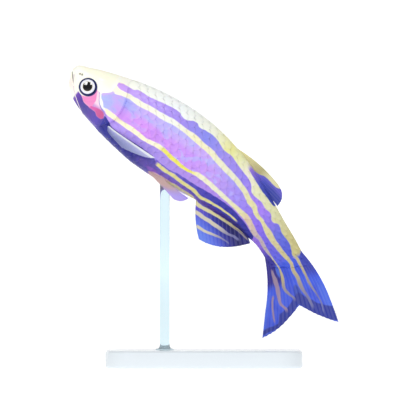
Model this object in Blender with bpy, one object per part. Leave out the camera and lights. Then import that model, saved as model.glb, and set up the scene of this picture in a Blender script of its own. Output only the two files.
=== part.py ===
"""Zebra danio: a still, life-size model of the fish on a plain display stand.

The fish hangs head up and tail down, its left side to -Y, its nose to -X. It is
symmetric about the plane Y = 0. The origin is the middle of the underside of the
stand's base, and the base rests on Z = 0.

The body is drawn along a bent midline. A place on the fish is given by s, the
distance along that midline from the front of the head, n, the height above it
towards the back, and y, the distance to the left (negative) or right (positive).
Sizes are millimetres, and each finished mesh is brought to metres at the end.
"""

import math

import bmesh
import bpy
import numpy as np
from mathutils import Matrix, Vector

# General sizes
MM = 0.001
GAP = 0.3
LEFT = -1
RIGHT = 1

# Midline of the body, as the control points of one Bezier curve in X and Z
MIDLINE = ((-18.07, 40.37), (-10.95, 33.67), (9.85, 26.25), (13.06, 8.73))
MIDLINE_STEPS = 600

# Stations of the body: s, height of the back, depth of the belly, half width
NOSE_S = -0.41
NOSE_N = 0.62
STATIONS = (
    (NOSE_S, NOSE_N, -NOSE_N, 0.0),
    (-0.30, 1.28, -0.11, 0.46),
    (0.00, 1.62, 0.55, 0.82),
    (1.00, 2.10, 1.85, 1.16),
    (2.75, 2.89, 2.86, 1.58),
    (5.50, 3.78, 3.78, 2.08),
    (8.25, 4.45, 4.44, 2.36),
    (11.0, 4.94, 5.00, 2.53),
    (13.75, 5.25, 5.38, 2.60),
    (16.5, 5.36, 5.43, 2.58),
    (19.25, 5.28, 5.21, 2.46),
    (22.0, 4.99, 4.79, 2.24),
    (24.75, 4.51, 4.29, 1.95),
    (27.5, 3.92, 4.00, 1.66),
    (30.25, 3.30, 3.57, 1.40),
    (33.0, 2.79, 2.91, 1.16),
    (35.75, 2.50, 2.35, 0.94),
    (38.5, 2.50, 2.24, 0.66),
    (40.5, 2.66, 2.30, 0.44),
)
ROUND_BACK = 2.25
ROUND_BELLY = 2.05
RING_SIDES = 36

# Gill cover: its rear edge bulges back and sweeps forward at nape and throat
GILL_S = 8.35
GILL_BULGE_AT = -0.15
GILL_SWEEP_BACK = 1.3
GILL_SWEEP_BELLY = 3.0
GILL_BLEND = (3.4, 13.2)
GILL_FLARE = 0.26
GILL_FLARE_FROM = 5.2
CHEEK_LINE = ((4.43, 0.13), (5.86, -1.35), (8.14, -3.25))
CHEEK_STEP = 0.2
CHEEK_EDGE = 0.25
CHEEK_FROM = (3.0, 4.6)
CHEEK_PARTS = 40
RELIEF_FADE = (0.55, 0.95)

# Where the trunk ends behind the vent, and where the tail meets its fin
VENT_S = 23.3
TAIL_END_S = 38.7
TAIL_END_SLOPE = 0.83
TAIL_END_ROUND = 0.1
TAIL_BLEND_FROM = 33.5
HEAD_RINGS = 24
TRUNK_RINGS = 15
TAIL_RINGS = 14
CAP_SHRINKS = (0.7, 0.38)

# Eye, in its socket
EYE_S = 2.72
EYE_N = -0.04
EYE_Y = 0.98
EYE_RADIUS = 1.12
EYE_BACK = 0.66
EYE_FRONT = 0.74
EYE_AXIS = (-0.17, 0.04, 1.0)
EYE_GAP = 0.2
PUPIL_RADIUS = 0.62
PUPIL_RISE = 0.05

# Mouth: an oblique line from the nose tip down to its corner
MOUTH_TIP = (-0.34, 0.30)
MOUTH_CORNER = (0.92, -0.85)
MOUTH_SLIT = 0.11
MOUTH_DEPTH = 0.32
LIP_RADIUS = 0.135
LIP_OFFSET = 0.165
LIP_SINK = 0.03
LIP_TAPER = 0.55
HEAD_MIDDLE = (1.6, -0.1, 0.0)
NOSTRIL = (0.80, 0.66)
NOSTRIL_RADIUS = 0.17

# Fins: half thickness at root, over the blade and at the tips, and ray ridges
FIN_HALF = 0.25
FIN_TIP_HALF = 0.11
FIN_ROOT_HALF = 0.3
TAIL_ROOT_HALF = 0.42
FIN_RIM = 0.6
FIN_NOTCH = 0.015
FLESH_END = 0.3
THIN_FROM = 0.7
RAY_RISE = 0.11
RAY_FALL = 0.6
RAY_FOOT = 0.27

# Fins of the middle line: s of the root, curve of the ray tips, and bow of the rays
DORSAL_ROOT = (22.7, 29.6)
DORSAL_TIPS = ((30.75, 4.98, 0.0), (32.5, 4.75, 0.0), (32.75, 3.32, 0.0))
DORSAL_BOW = (0.16, -0.02)
ANAL_ROOT = (23.95, 32.85)
ANAL_TIPS = ((28.75, -8.02, 0.0), (33.1, -7.25, 0.0), (34.6, -3.05, 0.0))
ANAL_BOW = (-0.25, -0.4)
CAUDAL_SHARE = 0.94
CAUDAL_FORK = (45.95, 0.0, 0.0)
CAUDAL_UPPER = ((48.1, 2.6, 0.0), (48.95, 4.8, 0.0))
CAUDAL_LOWER = ((48.8, -3.0, 0.0), (49.25, -5.72, 0.0))
CAUDAL_BOW = 0.3

# Paired fins: first and last root in s and n, curve of the ray tips, and their bend:
# how far out they start, then how far back and out they turn as shares of their run
PAIRED_RAY_START = 0.35
PECTORAL_ROOT = ((7.95, -2.65), (8.45, -3.5))
PECTORAL_TIPS = ((16.0, -3.3, 3.9), (15.3, -4.75, 3.5), (11.0, -4.9, 2.75))
PECTORAL_BEND = (0.6, 0.19, 0.07)
PELVIC_ROOT = ((15.9, -5.1), (17.3, -4.98))
PELVIC_TIPS = ((21.4, -6.2, 1.8), (22.6, -5.95, 1.9), (23.2, -5.05, 2.0))
PELVIC_BEND = (0.35, 0.23, 0.07)

# Feelers: radius at the root and at the tip, and how far they stand off
FEELER_ROOT = 0.25
FEELER_TIP = 0.1
FEELER_RISE = 0.7
FEELER_RINGS = 10
SNOUT_FEELER = ((0.25, 0.05), (1.25, -0.75))
MOUTH_FEELER = ((1.25, -1.25), (4.4, -2.85))

# Stand
BASE_LENGTH = 27.0
BASE_WIDTH = 16.0
BASE_THICK = 2.4
BASE_CORNER = 3.5
BASE_EDGE = 0.35
CORNER_PARTS = 6
EDGE_STEP = 0.3
ROD_X = -5.4
ROD_RADIUS = 0.7
ROD_SIDES = 20


def smooth(low, high, x):
    """Rise from 0 at low to 1 at high, level at both ends."""
    t = min(max((x - low) / (high - low), 0.0), 1.0)
    return t * t * (3.0 - 2.0 * t)


def blend(a, b, t):
    """Point between a and b."""
    return tuple(p + (q - p) * t for p, q in zip(a, b))


def arc(a, control, b, t):
    """Point on the quadratic curve from a to b that leans to control."""
    return blend(blend(a, control, t), blend(control, b, t), t)


def cubic(a, b, c, d, t):
    """Point on the cubic curve from a to d that leans to b and then to c."""
    return blend(arc(a, b, c, t), arc(b, c, d, t), t)


def slopes(x, y):
    """Slopes at the stations that let the curve through them keep its rises."""
    step = np.diff(x)
    rate = np.diff(y) / step
    slope = np.empty(len(x))
    slope[0] = rate[0]
    slope[-1] = rate[-1]
    for i in range(1, len(x) - 1):
        before = rate[i - 1]
        after = rate[i]
        if before * after <= 0.0:
            slope[i] = 0.0
        else:
            w_before = 2.0 * step[i] + step[i - 1]
            w_after = step[i] + 2.0 * step[i - 1]
            slope[i] = (w_before + w_after) / (w_before / before + w_after / after)
    return slope


class Profile:
    """One size of the body along s, rounded off at the nose like a ball."""

    def __init__(self, column):
        self.x = np.sqrt([row[0] - NOSE_S for row in STATIONS])
        self.y = np.array([row[column] for row in STATIONS])
        self.slope = slopes(self.x, self.y)

    def __call__(self, s):
        q = math.sqrt(max(s - NOSE_S, 0.0))
        q = min(q, self.x[-1])
        i = int(np.searchsorted(self.x, q, side="right")) - 1
        i = min(max(i, 0), len(self.x) - 2)
        h = self.x[i + 1] - self.x[i]
        t = (q - self.x[i]) / h
        return float(
            (2 * t**3 - 3 * t**2 + 1) * self.y[i]
            + (t**3 - 2 * t**2 + t) * h * self.slope[i]
            + (3 * t**2 - 2 * t**3) * self.y[i + 1]
            + (t**3 - t**2) * h * self.slope[i + 1]
        )


BACK = Profile(1)
BELLY = Profile(2)
SIDE = Profile(3)


def bezier(t):
    """Point and direction of the midline at t."""
    a, b, c, d = (np.array(p) for p in MIDLINE)
    u = 1.0 - t
    point = u**3 * a + 3 * u * u * t * b + 3 * u * t * t * c + t**3 * d
    along = 3 * u * u * (b - a) + 6 * u * t * (c - b) + 3 * t * t * (d - c)
    return point, along / np.linalg.norm(along)


def measure_midline():
    """Distance along the midline at equal steps of its parameter."""
    steps = np.linspace(0.0, 1.0, MIDLINE_STEPS + 1)
    points = np.array([bezier(t)[0] for t in steps])
    lengths = np.linalg.norm(np.diff(points, axis=0), axis=1)
    return steps, np.concatenate(([0.0], np.cumsum(lengths)))


STEPS, LENGTHS = measure_midline()


def world(s, n, y):
    """Place in X, Y and Z of a point on the fish."""
    inside = min(max(s, 0.0), LENGTHS[-1])
    point, along = bezier(float(np.interp(inside, LENGTHS, STEPS)))
    point = point + along * (s - inside)
    return Vector((point[0] - along[1] * n, y, point[1] + along[0] * n))


def on_fish(x, z):
    """The s and n of a place in the plane of X and Z."""
    s = 0.5 * LENGTHS[-1]
    for _ in range(30):
        here = world(s, 0.0, 0.0)
        ahead = world(s + 0.01, 0.0, 0.0)
        along = (ahead - here).normalized()
        s += (Vector((x, 0.0, z)) - here).dot(along)
    here = world(s, 0.0, 0.0)
    across = world(s, 1.0, 0.0) - here
    return s, (Vector((x, 0.0, z)) - here).dot(across)


def depth_at(s, share):
    """Height n at a share of the way from the midline to back or belly."""
    if s <= NOSE_S:
        return NOSE_N
    middle = 0.5 * (BACK(s) - BELLY(s)) * (1.0 - smooth(0.3, 3.0, s))
    edge = BACK(s) if share >= 0.0 else -BELLY(s)
    return middle + (edge - middle) * abs(share)


def share_at(s, n):
    """Share of the way from the midline to back or belly at height n."""
    middle = depth_at(s, 0.0)
    edge = BACK(s) if n >= middle else -BELLY(s)
    share = abs((n - middle) / (edge - middle))
    return share if n >= middle else -share


def rounding(share):
    """Exponent of the section's curve above or below the midline."""
    return ROUND_BACK if share >= 0.0 else ROUND_BELLY


def side_at(s, n):
    """Half width of the smooth body at s and height n."""
    share = min(abs(share_at(s, n)), 1.0)
    p = rounding(n - depth_at(s, 0.0))
    return SIDE(s) * (1.0 - share**p) ** (1.0 / p)


def gill_sweep(share):
    """How far the gill cover's edge lies in front of its rearmost point."""
    off = share - GILL_BULGE_AT
    rate = GILL_SWEEP_BACK if off >= 0.0 else GILL_SWEEP_BELLY
    return -rate * off * off


def tail_sweep(share):
    """How far the end of the tail lies behind or before its middle."""
    return TAIL_END_SLOPE * share - TAIL_END_ROUND * share * share


def swept(u, share):
    """The s of a ring that leans with the gill cover and the tail's end."""
    low, high = GILL_BLEND
    if u <= GILL_S:
        gill = smooth(low, GILL_S, u)
    else:
        gill = 1.0 - smooth(GILL_S, high, u)
    tail = smooth(TAIL_BLEND_FROM, TAIL_END_S, u)
    return u + gill * gill_sweep(share) + tail * tail_sweep(share)


def cheek_side(s, n):
    """Distance behind the line between cheek and gill cover, in front negative."""
    best = None
    for i in range(CHEEK_PARTS + 1):
        p = arc(*CHEEK_LINE, i / CHEEK_PARTS)
        off = math.hypot(s - p[0], n - p[1])
        if best is None or off < best[0]:
            best = (off, (s - p[0]) + (n - p[1]))
    return math.copysign(best[0], best[1])


def relief(u, share, s, n, on_head):
    """How far gill cover and cheek stand proud of the smooth body."""
    if not on_head:
        return 0.0
    fade = 1.0 - smooth(*RELIEF_FADE, abs(share))
    flare = GILL_FLARE * smooth(GILL_FLARE_FROM, GILL_S, u)
    step = CHEEK_STEP * smooth(-CHEEK_EDGE, CHEEK_EDGE, cheek_side(s, n)) * smooth(*CHEEK_FROM, s)
    return fade * (flare + step)


def ring(u, on_head=False, shrink=1.0):
    """Points round the body where a ring at u lies."""
    points = []
    for i in range(RING_SIDES):
        angle = 2.0 * math.pi * (i + 0.5) / RING_SIDES
        across = math.cos(angle)
        height = math.sin(angle)
        p = rounding(height)
        share = math.copysign(abs(height) ** (2.0 / p), height)
        width = math.copysign(abs(across) ** (2.0 / p), across)
        s = swept(u, share * shrink)
        n = depth_at(s, share * shrink)
        bulge = relief(u, share, s, n, on_head) * abs(across)
        y = width * shrink * (SIDE(s) + bulge)
        points.append(world(s, n, y))
    return points


def new_object(name, vertices, faces):
    """Mesh object with its faces turned outwards."""
    mesh = bpy.data.meshes.new(name)
    mesh.from_pydata([tuple(v) for v in vertices], [], faces)
    form = bmesh.new()
    form.from_mesh(mesh)
    bmesh.ops.recalc_face_normals(form, faces=form.faces)
    if form.calc_volume(signed=True) < 0.0:
        bmesh.ops.reverse_faces(form, faces=form.faces)
    form.to_mesh(mesh)
    form.free()
    piece = bpy.data.objects.new(name, mesh)
    bpy.context.scene.collection.objects.link(piece)
    return piece


def loft(name, rings, start=None, end=None):
    """Closed mesh through rings of points, ending in a point or a flat fan."""
    sides = len(rings[0])
    vertices = [v for points in rings for v in points]
    faces = []
    for r in range(len(rings) - 1):
        for i in range(sides):
            j = (i + 1) % sides
            a = r * sides
            b = a + sides
            faces.append((a + i, a + j, b + j))
            faces.append((a + i, b + j, b + i))
    for first, tip in ((0, start), ((len(rings) - 1) * sides, end)):
        if tip is None:
            edge = vertices[first:first + sides]
            tip = sum(edge, Vector()) / sides
        vertices.append(tip)
        for i in range(sides):
            faces.append((first + i, first + (i + 1) % sides, len(vertices) - 1))
    return new_object(name, vertices, faces)


def cap_rings(u, on_head=False):
    """Inner rings and middle point that close a body length at u."""
    inner = [ring(u, on_head, shrink) for shrink in CAP_SHRINKS]
    s = swept(u, 0.0)
    return inner, world(s, depth_at(s, 0.0), 0.0)


def body_length(name, stations, on_head=False, nose=False):
    """One length of the body through rings at the stations."""
    rings = [ring(u, on_head) for u in stations]
    if nose:
        start = world(NOSE_S, NOSE_N, 0.0)
    else:
        inner, start = cap_rings(stations[0], on_head)
        rings = inner[::-1] + rings
    inner, end = cap_rings(stations[-1], on_head)
    return loft(name, rings + inner, start, end)


def tube(name, path, radii, sides=10):
    """Round bar along a path of points, with a radius at each."""
    rings = []
    side = Vector((0.0, 1.0, 0.0))
    for i, point in enumerate(path):
        ahead = path[min(i + 1, len(path) - 1)] - path[max(i - 1, 0)]
        ahead.normalize()
        side = (side - ahead * side.dot(ahead)).normalized()
        other = ahead.cross(side)
        points = []
        for k in range(sides):
            angle = 2.0 * math.pi * k / sides
            points.append(point + (side * math.cos(angle) + other * math.sin(angle)) * radii[i])
        rings.append(points)
    return loft(name, rings)


def turned(name, profile, middle, axis, sides=24):
    """Body turned about an axis, from a profile of radius and height."""
    turn = Vector((0.0, 0.0, 1.0)).rotation_difference(Vector(axis).normalized())
    rings = []
    for radius, height in profile[1:-1]:
        points = []
        for k in range(sides):
            angle = 2.0 * math.pi * k / sides
            spot = Vector((radius * math.cos(angle), radius * math.sin(angle), height))
            points.append(middle + turn @ spot)
        rings.append(points)
    start = middle + turn @ Vector((0.0, 0.0, profile[0][1]))
    end = middle + turn @ Vector((0.0, 0.0, profile[-1][1]))
    return loft(name, rings, start, end)


def ball(name, middle, radius):
    """Small round ball."""
    mesh = bpy.data.meshes.new(name)
    form = bmesh.new()
    bmesh.ops.create_icosphere(form, subdivisions=2, radius=radius)
    bmesh.ops.translate(form, verts=form.verts, vec=middle)
    form.to_mesh(mesh)
    form.free()
    piece = bpy.data.objects.new(name, mesh)
    bpy.context.scene.collection.objects.link(piece)
    return piece


def keep_largest(mesh):
    """Keep only the largest closed surface of a mesh."""
    form = bmesh.new()
    form.from_mesh(mesh)
    form.faces.ensure_lookup_table()
    seen = set()
    groups = []
    for face in form.faces:
        if face.index in seen:
            continue
        group = []
        stack = [face]
        seen.add(face.index)
        while stack:
            current = stack.pop()
            group.append(current)
            for edge in current.edges:
                for other in edge.link_faces:
                    if other.index not in seen:
                        seen.add(other.index)
                        stack.append(other)
        groups.append(group)
    groups.sort(key=lambda faces: sum(f.calc_area() for f in faces))
    for group in groups[:-1]:
        bmesh.ops.delete(form, geom=group, context="FACES")
    loose = [v for v in form.verts if not v.link_faces]
    bmesh.ops.delete(form, geom=loose, context="VERTS")
    form.to_mesh(mesh)
    form.free()


def combine(piece, operation, helpers):
    """Join helpers to a piece or cut them from it, and remove them."""
    group = bpy.data.collections.new(piece.name + "_helpers")
    for helper in helpers:
        group.objects.link(helper)
    step = piece.modifiers.new("shape", "BOOLEAN")
    step.operation = operation
    step.solver = "EXACT"
    step.operand_type = "COLLECTION"
    step.collection = group
    depsgraph = bpy.context.evaluated_depsgraph_get()
    result = bpy.data.meshes.new_from_object(piece.evaluated_get(depsgraph))
    piece.modifiers.remove(step)
    old = piece.data
    piece.data = result
    bpy.data.meshes.remove(old)
    bpy.data.collections.remove(group)
    for helper in helpers:
        bpy.data.objects.remove(helper)
    keep_largest(piece.data)


def mouth_place(share, y, offset=0.0):
    """The s and n on the mouth's plane, a share of the way to its corner."""
    s, n = blend(MOUTH_TIP, MOUTH_CORNER, share)
    run = Vector((MOUTH_CORNER[0] - MOUTH_TIP[0], MOUTH_CORNER[1] - MOUTH_TIP[1])).normalized()
    return s - run.y * offset, n + run.x * offset, y


def mouth_rim(offset, count=17):
    """Points where the mouth's plane, shifted by offset, leaves the skin."""
    rim = []
    for i in range(count):
        turn = math.pi * (i / (count - 1) - 0.5)
        share = 1.0 - math.cos(turn)
        s, n, _ = mouth_place(share, 0.0, offset)
        y = 0.0 if i == count // 2 else side_at(max(s, NOSE_S + 0.01), n)
        rim.append((s, n, math.copysign(y, turn)))
    return rim


def inward(point, amount):
    """Move a place on the snout towards the middle of the head."""
    off = Vector(HEAD_MIDDLE) - Vector(point)
    off.normalize()
    return Vector(point) + off * amount


def make_lips():
    """Upper and lower lip as beads along the mouth."""
    lips = []
    for name, offset in (("lip_upper", LIP_OFFSET), ("lip_lower", -LIP_OFFSET)):
        rim = [world(*inward(p, LIP_SINK)) for p in mouth_rim(offset)]
        last = len(rim) - 1
        radii = []
        for i in range(len(rim)):
            edge = 2.0 * abs(i / last - 0.5)
            radii.append(LIP_RADIUS * (1.0 - LIP_TAPER * edge**3))
        lips.append(tube(name, rim, radii, 8))
    return lips


def make_mouth_slit():
    """Thin curved blade that cuts the line of the mouth."""
    outer = [inward(p, -0.3) for p in mouth_rim(0.0)]
    inner = [inward(p, MOUTH_DEPTH) for p in mouth_rim(0.0)]
    s0, n0, _ = mouth_place(0.0, 0.0)
    s1, n1, _ = mouth_place(0.0, 0.0, 1.0)
    across = Vector((s1 - s0, n1 - n0, 0.0))
    rings = []
    for out, deep in zip(outer, inner):
        half = 0.5 * MOUTH_SLIT
        corners = (out + across * half, deep + across * half * 0.6,
                   deep - across * half * 0.6, out - across * half)
        rings.append([world(*c) for c in corners])
    return loft("mouth_slit", rings)


def eye_place(side):
    """Middle and outward axis of an eye in X, Y and Z."""
    middle = world(EYE_S, EYE_N, side * EYE_Y)
    ds, dn, dy = EYE_AXIS
    ahead = world(EYE_S + ds, EYE_N + dn, side * (EYE_Y + dy))
    return middle, ahead - middle


def eye_profile(radius, back, front, steps=7):
    """Half section of the eyeball from its back pole to its front pole."""
    points = []
    for i in range(2 * steps + 1):
        angle = math.pi * (i / (2 * steps) - 0.5)
        depth = back if angle < 0.0 else front
        points.append((radius * math.cos(angle), depth * math.sin(angle)))
    return points


def make_eye(name, side):
    """Eyeball with its raised pupil."""
    profile = eye_profile(EYE_RADIUS, EYE_BACK, EYE_FRONT)
    front = [p for p in profile if p[1] > 0.0 and p[0] < PUPIL_RADIUS * 1.1]
    body = [p for p in profile if p not in front]
    rim = EYE_FRONT * math.sqrt(1.0 - (PUPIL_RADIUS / EYE_RADIUS) ** 2)
    raised = [(PUPIL_RADIUS * 1.04, rim), (PUPIL_RADIUS, rim + PUPIL_RISE)]
    raised += [(PUPIL_RADIUS * 0.6, rim + 2.2 * PUPIL_RISE), (0.0, EYE_FRONT + PUPIL_RISE)]
    middle, axis = eye_place(side)
    return turned(name, body + raised, middle, axis)


def make_head():
    """Head with sockets, mouth, lips, nostrils and gill covers."""
    reach = math.sqrt(GILL_S - NOSE_S)
    stations = [NOSE_S + (reach * (i + 1) / HEAD_RINGS) ** 2 for i in range(HEAD_RINGS)]
    head = body_length("head", stations, on_head=True, nose=True)
    combine(head, "UNION", make_lips())
    cutters = [make_mouth_slit()]
    for side in (LEFT, RIGHT):
        middle, axis = eye_place(side)
        profile = eye_profile(EYE_RADIUS + EYE_GAP, EYE_BACK + EYE_GAP, EYE_FRONT + 1.0)
        cutters.append(turned("socket", profile, middle, axis, 28))
        s, n = NOSTRIL
        cutters.append(ball("nostril", world(s, n, side * side_at(s, n)), NOSTRIL_RADIUS))
    combine(head, "DIFFERENCE", cutters)
    return head


def spread(first, last, count):
    """Even values from first to last."""
    return [first + (last - first) * i / (count - 1) for i in range(count)]


def make_trunk():
    """Trunk, from behind the gill covers to the vent."""
    return body_length("trunk", spread(GILL_S + GAP, VENT_S - 0.5 * GAP, TRUNK_RINGS))


def make_tail():
    """Tail, from the vent to the root of the tail fin."""
    return body_length("tail", spread(VENT_S + 0.5 * GAP, TAIL_END_S, TAIL_RINGS))


def columns(rays):
    """Positions across a fin of each ray's foot, crest and foot, 0 to 1."""
    marks = []
    for k in range(rays):
        for shift in (-RAY_FOOT, 0.0, RAY_FOOT):
            marks.append((k + shift, shift == 0.0))
    low = marks[0][0]
    high = marks[-1][0]
    return [((m - low) / (high - low), crest) for m, crest in marks]


def surface(place, u, v):
    """Point of a fin's middle surface in X, Y and Z, and its direction across."""
    step = 0.002
    here = world(*place(u, v))
    along = world(*place(u, min(v + step, 1.0))) - world(*place(u, max(v - step, 0.0)))
    over = world(*place(min(u + step, 1.0), v)) - world(*place(max(u - step, 0.0), v))
    return here, over.cross(along).normalized()


def fin(name, rays, rows, place, root_half=FIN_ROOT_HALF, ray_start=0.0):
    """Fin whose rays stand as ridges on both faces of one membrane."""
    marks = columns(rays)
    front = []
    back = []
    for i in range(rows + 1):
        v = i / rows
        flesh = (root_half - FIN_HALF) * (1.0 - smooth(0.0, FLESH_END, v))
        thin = FIN_HALF + flesh - (FIN_HALF - FIN_TIP_HALF) * smooth(THIN_FROM, 1.0, v)
        ridge = RAY_RISE * (1.0 - RAY_FALL * v)
        if v < ray_start:
            ridge *= v / ray_start
        for u, crest in marks:
            reach = v if crest else v * (1.0 - FIN_NOTCH)
            point, across = surface(place, u, reach)
            half = thin + ridge if crest else thin
            if u in (0.0, 1.0):
                half *= FIN_RIM
            front.append(point + across * half)
            back.append(point - across * half)
    wide = len(marks)
    total = len(front)
    faces = []
    for i in range(rows):
        for j in range(wide - 1):
            a = i * wide + j
            b = a + wide
            for quad in ((a, a + 1, b + 1), (a, b + 1, b)):
                faces.append(quad)
                faces.append(tuple(total + k for k in reversed(quad)))
    rim = [j for j in range(wide)]
    rim += [i * wide + wide - 1 for i in range(1, rows + 1)]
    rim += [rows * wide + j for j in range(wide - 2, -1, -1)]
    rim += [i * wide for i in range(rows - 1, 0, -1)]
    for i, a in enumerate(rim):
        b = rim[(i + 1) % len(rim)]
        faces.append((a, total + a, total + b))
        faces.append((a, total + b, b))
    return new_object(name, front + back, faces)


def bowed(root, tip, lift, v):
    """Point on a ray from root to tip that bows by lift half way."""
    rise = 4.0 * v * (1.0 - v)
    return tuple(p + b * rise for p, b in zip(blend(root, tip, v), lift))


def dorsal_place(u, v):
    """Lowered dorsal fin: long front rays laid back over the tail."""
    first, last = DORSAL_ROOT
    s = first + (last - first) * u
    root = (s, BACK(s) + GAP, 0.0)
    front_bow, rear_bow = DORSAL_BOW
    return bowed(root, arc(*DORSAL_TIPS, u), (0.0, front_bow * (1.0 - u) + rear_bow * u, 0.0), v)


def anal_place(u, v):
    """Anal fin: long base, and rays that shorten to the rear."""
    first, last = ANAL_ROOT
    s = first + (last - first) * u
    root = (s, -BELLY(s) - GAP, 0.0)
    bow_s, bow_n = ANAL_BOW
    return bowed(root, arc(*ANAL_TIPS, u), (bow_s * (1.0 - u), bow_n * (1.0 - u), 0.0), v)


def caudal_place(u, v):
    """Forked tail fin, fanned from the rounded end of the tail."""
    spread_share = 1.0 - 2.0 * u
    share = CAUDAL_SHARE * spread_share
    s = TAIL_END_S + tail_sweep(share) + GAP
    root = (s, depth_at(s, share), 0.0)
    lobe = CAUDAL_UPPER if u < 0.5 else CAUDAL_LOWER
    tip = arc(CAUDAL_FORK, *lobe, abs(spread_share))
    return bowed(root, tip, (0.0, CAUDAL_BOW * max(spread_share, 0.0), 0.0), v)


def skin_place(s, n, side, off):
    """Place at a distance off the skin, straight out from it."""
    step = 0.05
    y = side_at(s, n)
    up = (side_at(s, n + step) - side_at(s, n - step)) / (2.0 * step)
    long = math.hypot(1.0, up)
    return s, n - off * up / long, side * (y + off / long)


def paired_fin(side, roots, tips, bend):
    """Paired fin that leaves the skin straight out and then turns back."""
    rise, back, out = bend

    def place(u, v):
        s, n = blend(*roots, u)
        root = skin_place(s, n, side, GAP)
        lean = skin_place(s, n, side, GAP + rise)
        tip = arc(*tips, u)
        run = tip[0] - s
        turn = skin_place(s + back * run, n, side, GAP + rise + out * run)
        return cubic(root, lean, turn, (tip[0], tip[1], side * tip[2]), v)
    return place


def feeler(name, side, root, reach):
    """Feeler that leaves the skin straight out and trails back."""
    s, n = root
    start = skin_place(s, n, side, GAP)
    lean = skin_place(s, n, side, GAP + FEELER_RISE)
    end = skin_place(*reach, side, GAP + FEELER_RISE)
    path = []
    radii = []
    for t in spread(0.0, 1.0, FEELER_RINGS):
        path.append(world(*arc(start, lean, end, t)))
        radii.append(FEELER_ROOT + (FEELER_TIP - FEELER_ROOT) * t)
    return tube(name, path, radii, 8)


def rounded_plate(name, length, width, corner, low, high, edge):
    """Flat plate with round corners and softened edges."""
    def outline(inset, z):
        points = []
        radius = corner - inset
        for quarter in range(4):
            sx = 1 if quarter in (0, 3) else -1
            sy = 1 if quarter in (0, 1) else -1
            for k in range(CORNER_PARTS + 1):
                angle = 0.5 * math.pi * (quarter + k / CORNER_PARTS)
                points.append(Vector((
                    sx * (0.5 * length - corner) + radius * math.cos(angle),
                    sy * (0.5 * width - corner) + radius * math.sin(angle),
                    z,
                )))
        return points

    near = EDGE_STEP * edge
    rings = [
        outline(edge, low),
        outline(near, low + near),
        outline(0.0, low + edge),
        outline(0.0, high - edge),
        outline(near, high - near),
        outline(edge, high),
    ]
    return loft(name, rings)


def belly_height(x, y):
    """Height of the underside of the body over a point of the base."""
    low = BASE_THICK
    high = world(LENGTHS[-1] * 0.42, 0.0, 0.0).z
    for _ in range(40):
        z = 0.5 * (low + high)
        s, n = on_fish(x, z)
        side = side_at(s, n) if n > -BELLY(s) else -1.0
        if abs(y) < side:
            high = z
        else:
            low = z
    return low


def make_rod():
    """Rod from the base up to the belly, its top cut to the belly's slope."""
    foot = []
    head = []
    for k in range(ROD_SIDES):
        angle = 2.0 * math.pi * k / ROD_SIDES
        x = ROD_X + ROD_RADIUS * math.cos(angle)
        y = ROD_RADIUS * math.sin(angle)
        foot.append(Vector((x, y, BASE_THICK + GAP)))
        head.append(Vector((x, y, belly_height(x, y) - GAP)))
    top = Vector((ROD_X, 0.0, belly_height(ROD_X, 0.0) - GAP))
    return loft("stand_rod", [foot, head], end=top)


def material(name, colour, roughness, metallic=0.0):
    """Plain finish with one colour."""
    finish = bpy.data.materials.new(name)
    finish.use_nodes = True
    shader = finish.node_tree.nodes["Principled BSDF"]
    shader.inputs["Base Color"].default_value = (*colour, 1.0)
    shader.inputs["Roughness"].default_value = roughness
    shader.inputs["Metallic"].default_value = metallic
    finish.diffuse_color = (*colour, 1.0)
    return finish


def finish_piece(piece, finish):
    """Bring a piece to metres, shade it smooth and give it its finish."""
    piece.data.transform(Matrix.Scale(MM, 4))
    piece.data.materials.clear()
    piece.data.materials.append(finish)
    piece.data.shade_smooth()
    piece.data.set_sharp_from_angle(angle=math.radians(40.0))


def build():
    """Make every piece of the fish and its stand."""
    for piece in list(bpy.data.objects):
        bpy.data.objects.remove(piece)

    skin = material("head_skin", (0.80, 0.62, 0.80), 0.35)
    flank = material("flank_skin", (0.52, 0.42, 0.85), 0.35)
    rear = material("tail_skin", (0.30, 0.27, 0.75), 0.35)
    dorsal = material("dorsal_membrane", (0.42, 0.42, 0.35), 0.4)
    blue = material("blue_membrane", (0.16, 0.22, 0.70), 0.4)
    pale = material("pale_membrane", (0.55, 0.50, 0.62), 0.4)
    eye = material("eye_black", (0.01, 0.01, 0.04), 0.1)
    feeler_skin = material("feeler_skin", (0.75, 0.66, 0.60), 0.4)
    acrylic = material("stand_acrylic", (0.85, 0.88, 0.90), 0.08)

    finish_piece(make_head(), skin)
    finish_piece(make_trunk(), flank)
    finish_piece(make_tail(), rear)
    finish_piece(fin("dorsal_fin", 9, 7, dorsal_place), dorsal)
    finish_piece(fin("anal_fin", 14, 7, anal_place), blue)
    finish_piece(fin("caudal_fin", 19, 8, caudal_place, TAIL_ROOT_HALF), blue)
    for side, word in ((LEFT, "left"), (RIGHT, "right")):
        finish_piece(make_eye("eye_" + word, side), eye)
        chest = paired_fin(side, PECTORAL_ROOT, PECTORAL_TIPS, PECTORAL_BEND)
        belly = paired_fin(side, PELVIC_ROOT, PELVIC_TIPS, PELVIC_BEND)
        finish_piece(fin("pectoral_fin_" + word, 10, 10, chest, ray_start=PAIRED_RAY_START), pale)
        finish_piece(fin("pelvic_fin_" + word, 8, 8, belly, ray_start=PAIRED_RAY_START), pale)
        finish_piece(feeler("barbel_rostral_" + word, side, *SNOUT_FEELER), feeler_skin)
        finish_piece(feeler("barbel_maxillary_" + word, side, *MOUTH_FEELER), feeler_skin)
    base = rounded_plate("stand_base", BASE_LENGTH, BASE_WIDTH, BASE_CORNER, 0.0, BASE_THICK, BASE_EDGE)
    finish_piece(base, acrylic)
    finish_piece(make_rod(), acrylic)


build()
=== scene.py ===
"""Looks of the zebra danio and its display stand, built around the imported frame.

The fish is drawn along a bent midline. A place on it is given in millimetres by s,
the distance along the midline from the front of the head, n, the height above the
midline towards the back, and y, the distance to the fish's left (negative) or right.
"""

from __future__ import annotations

import logging
import math
from dataclasses import dataclass, field
from enum import Enum
from typing import Callable, Sequence

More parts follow.
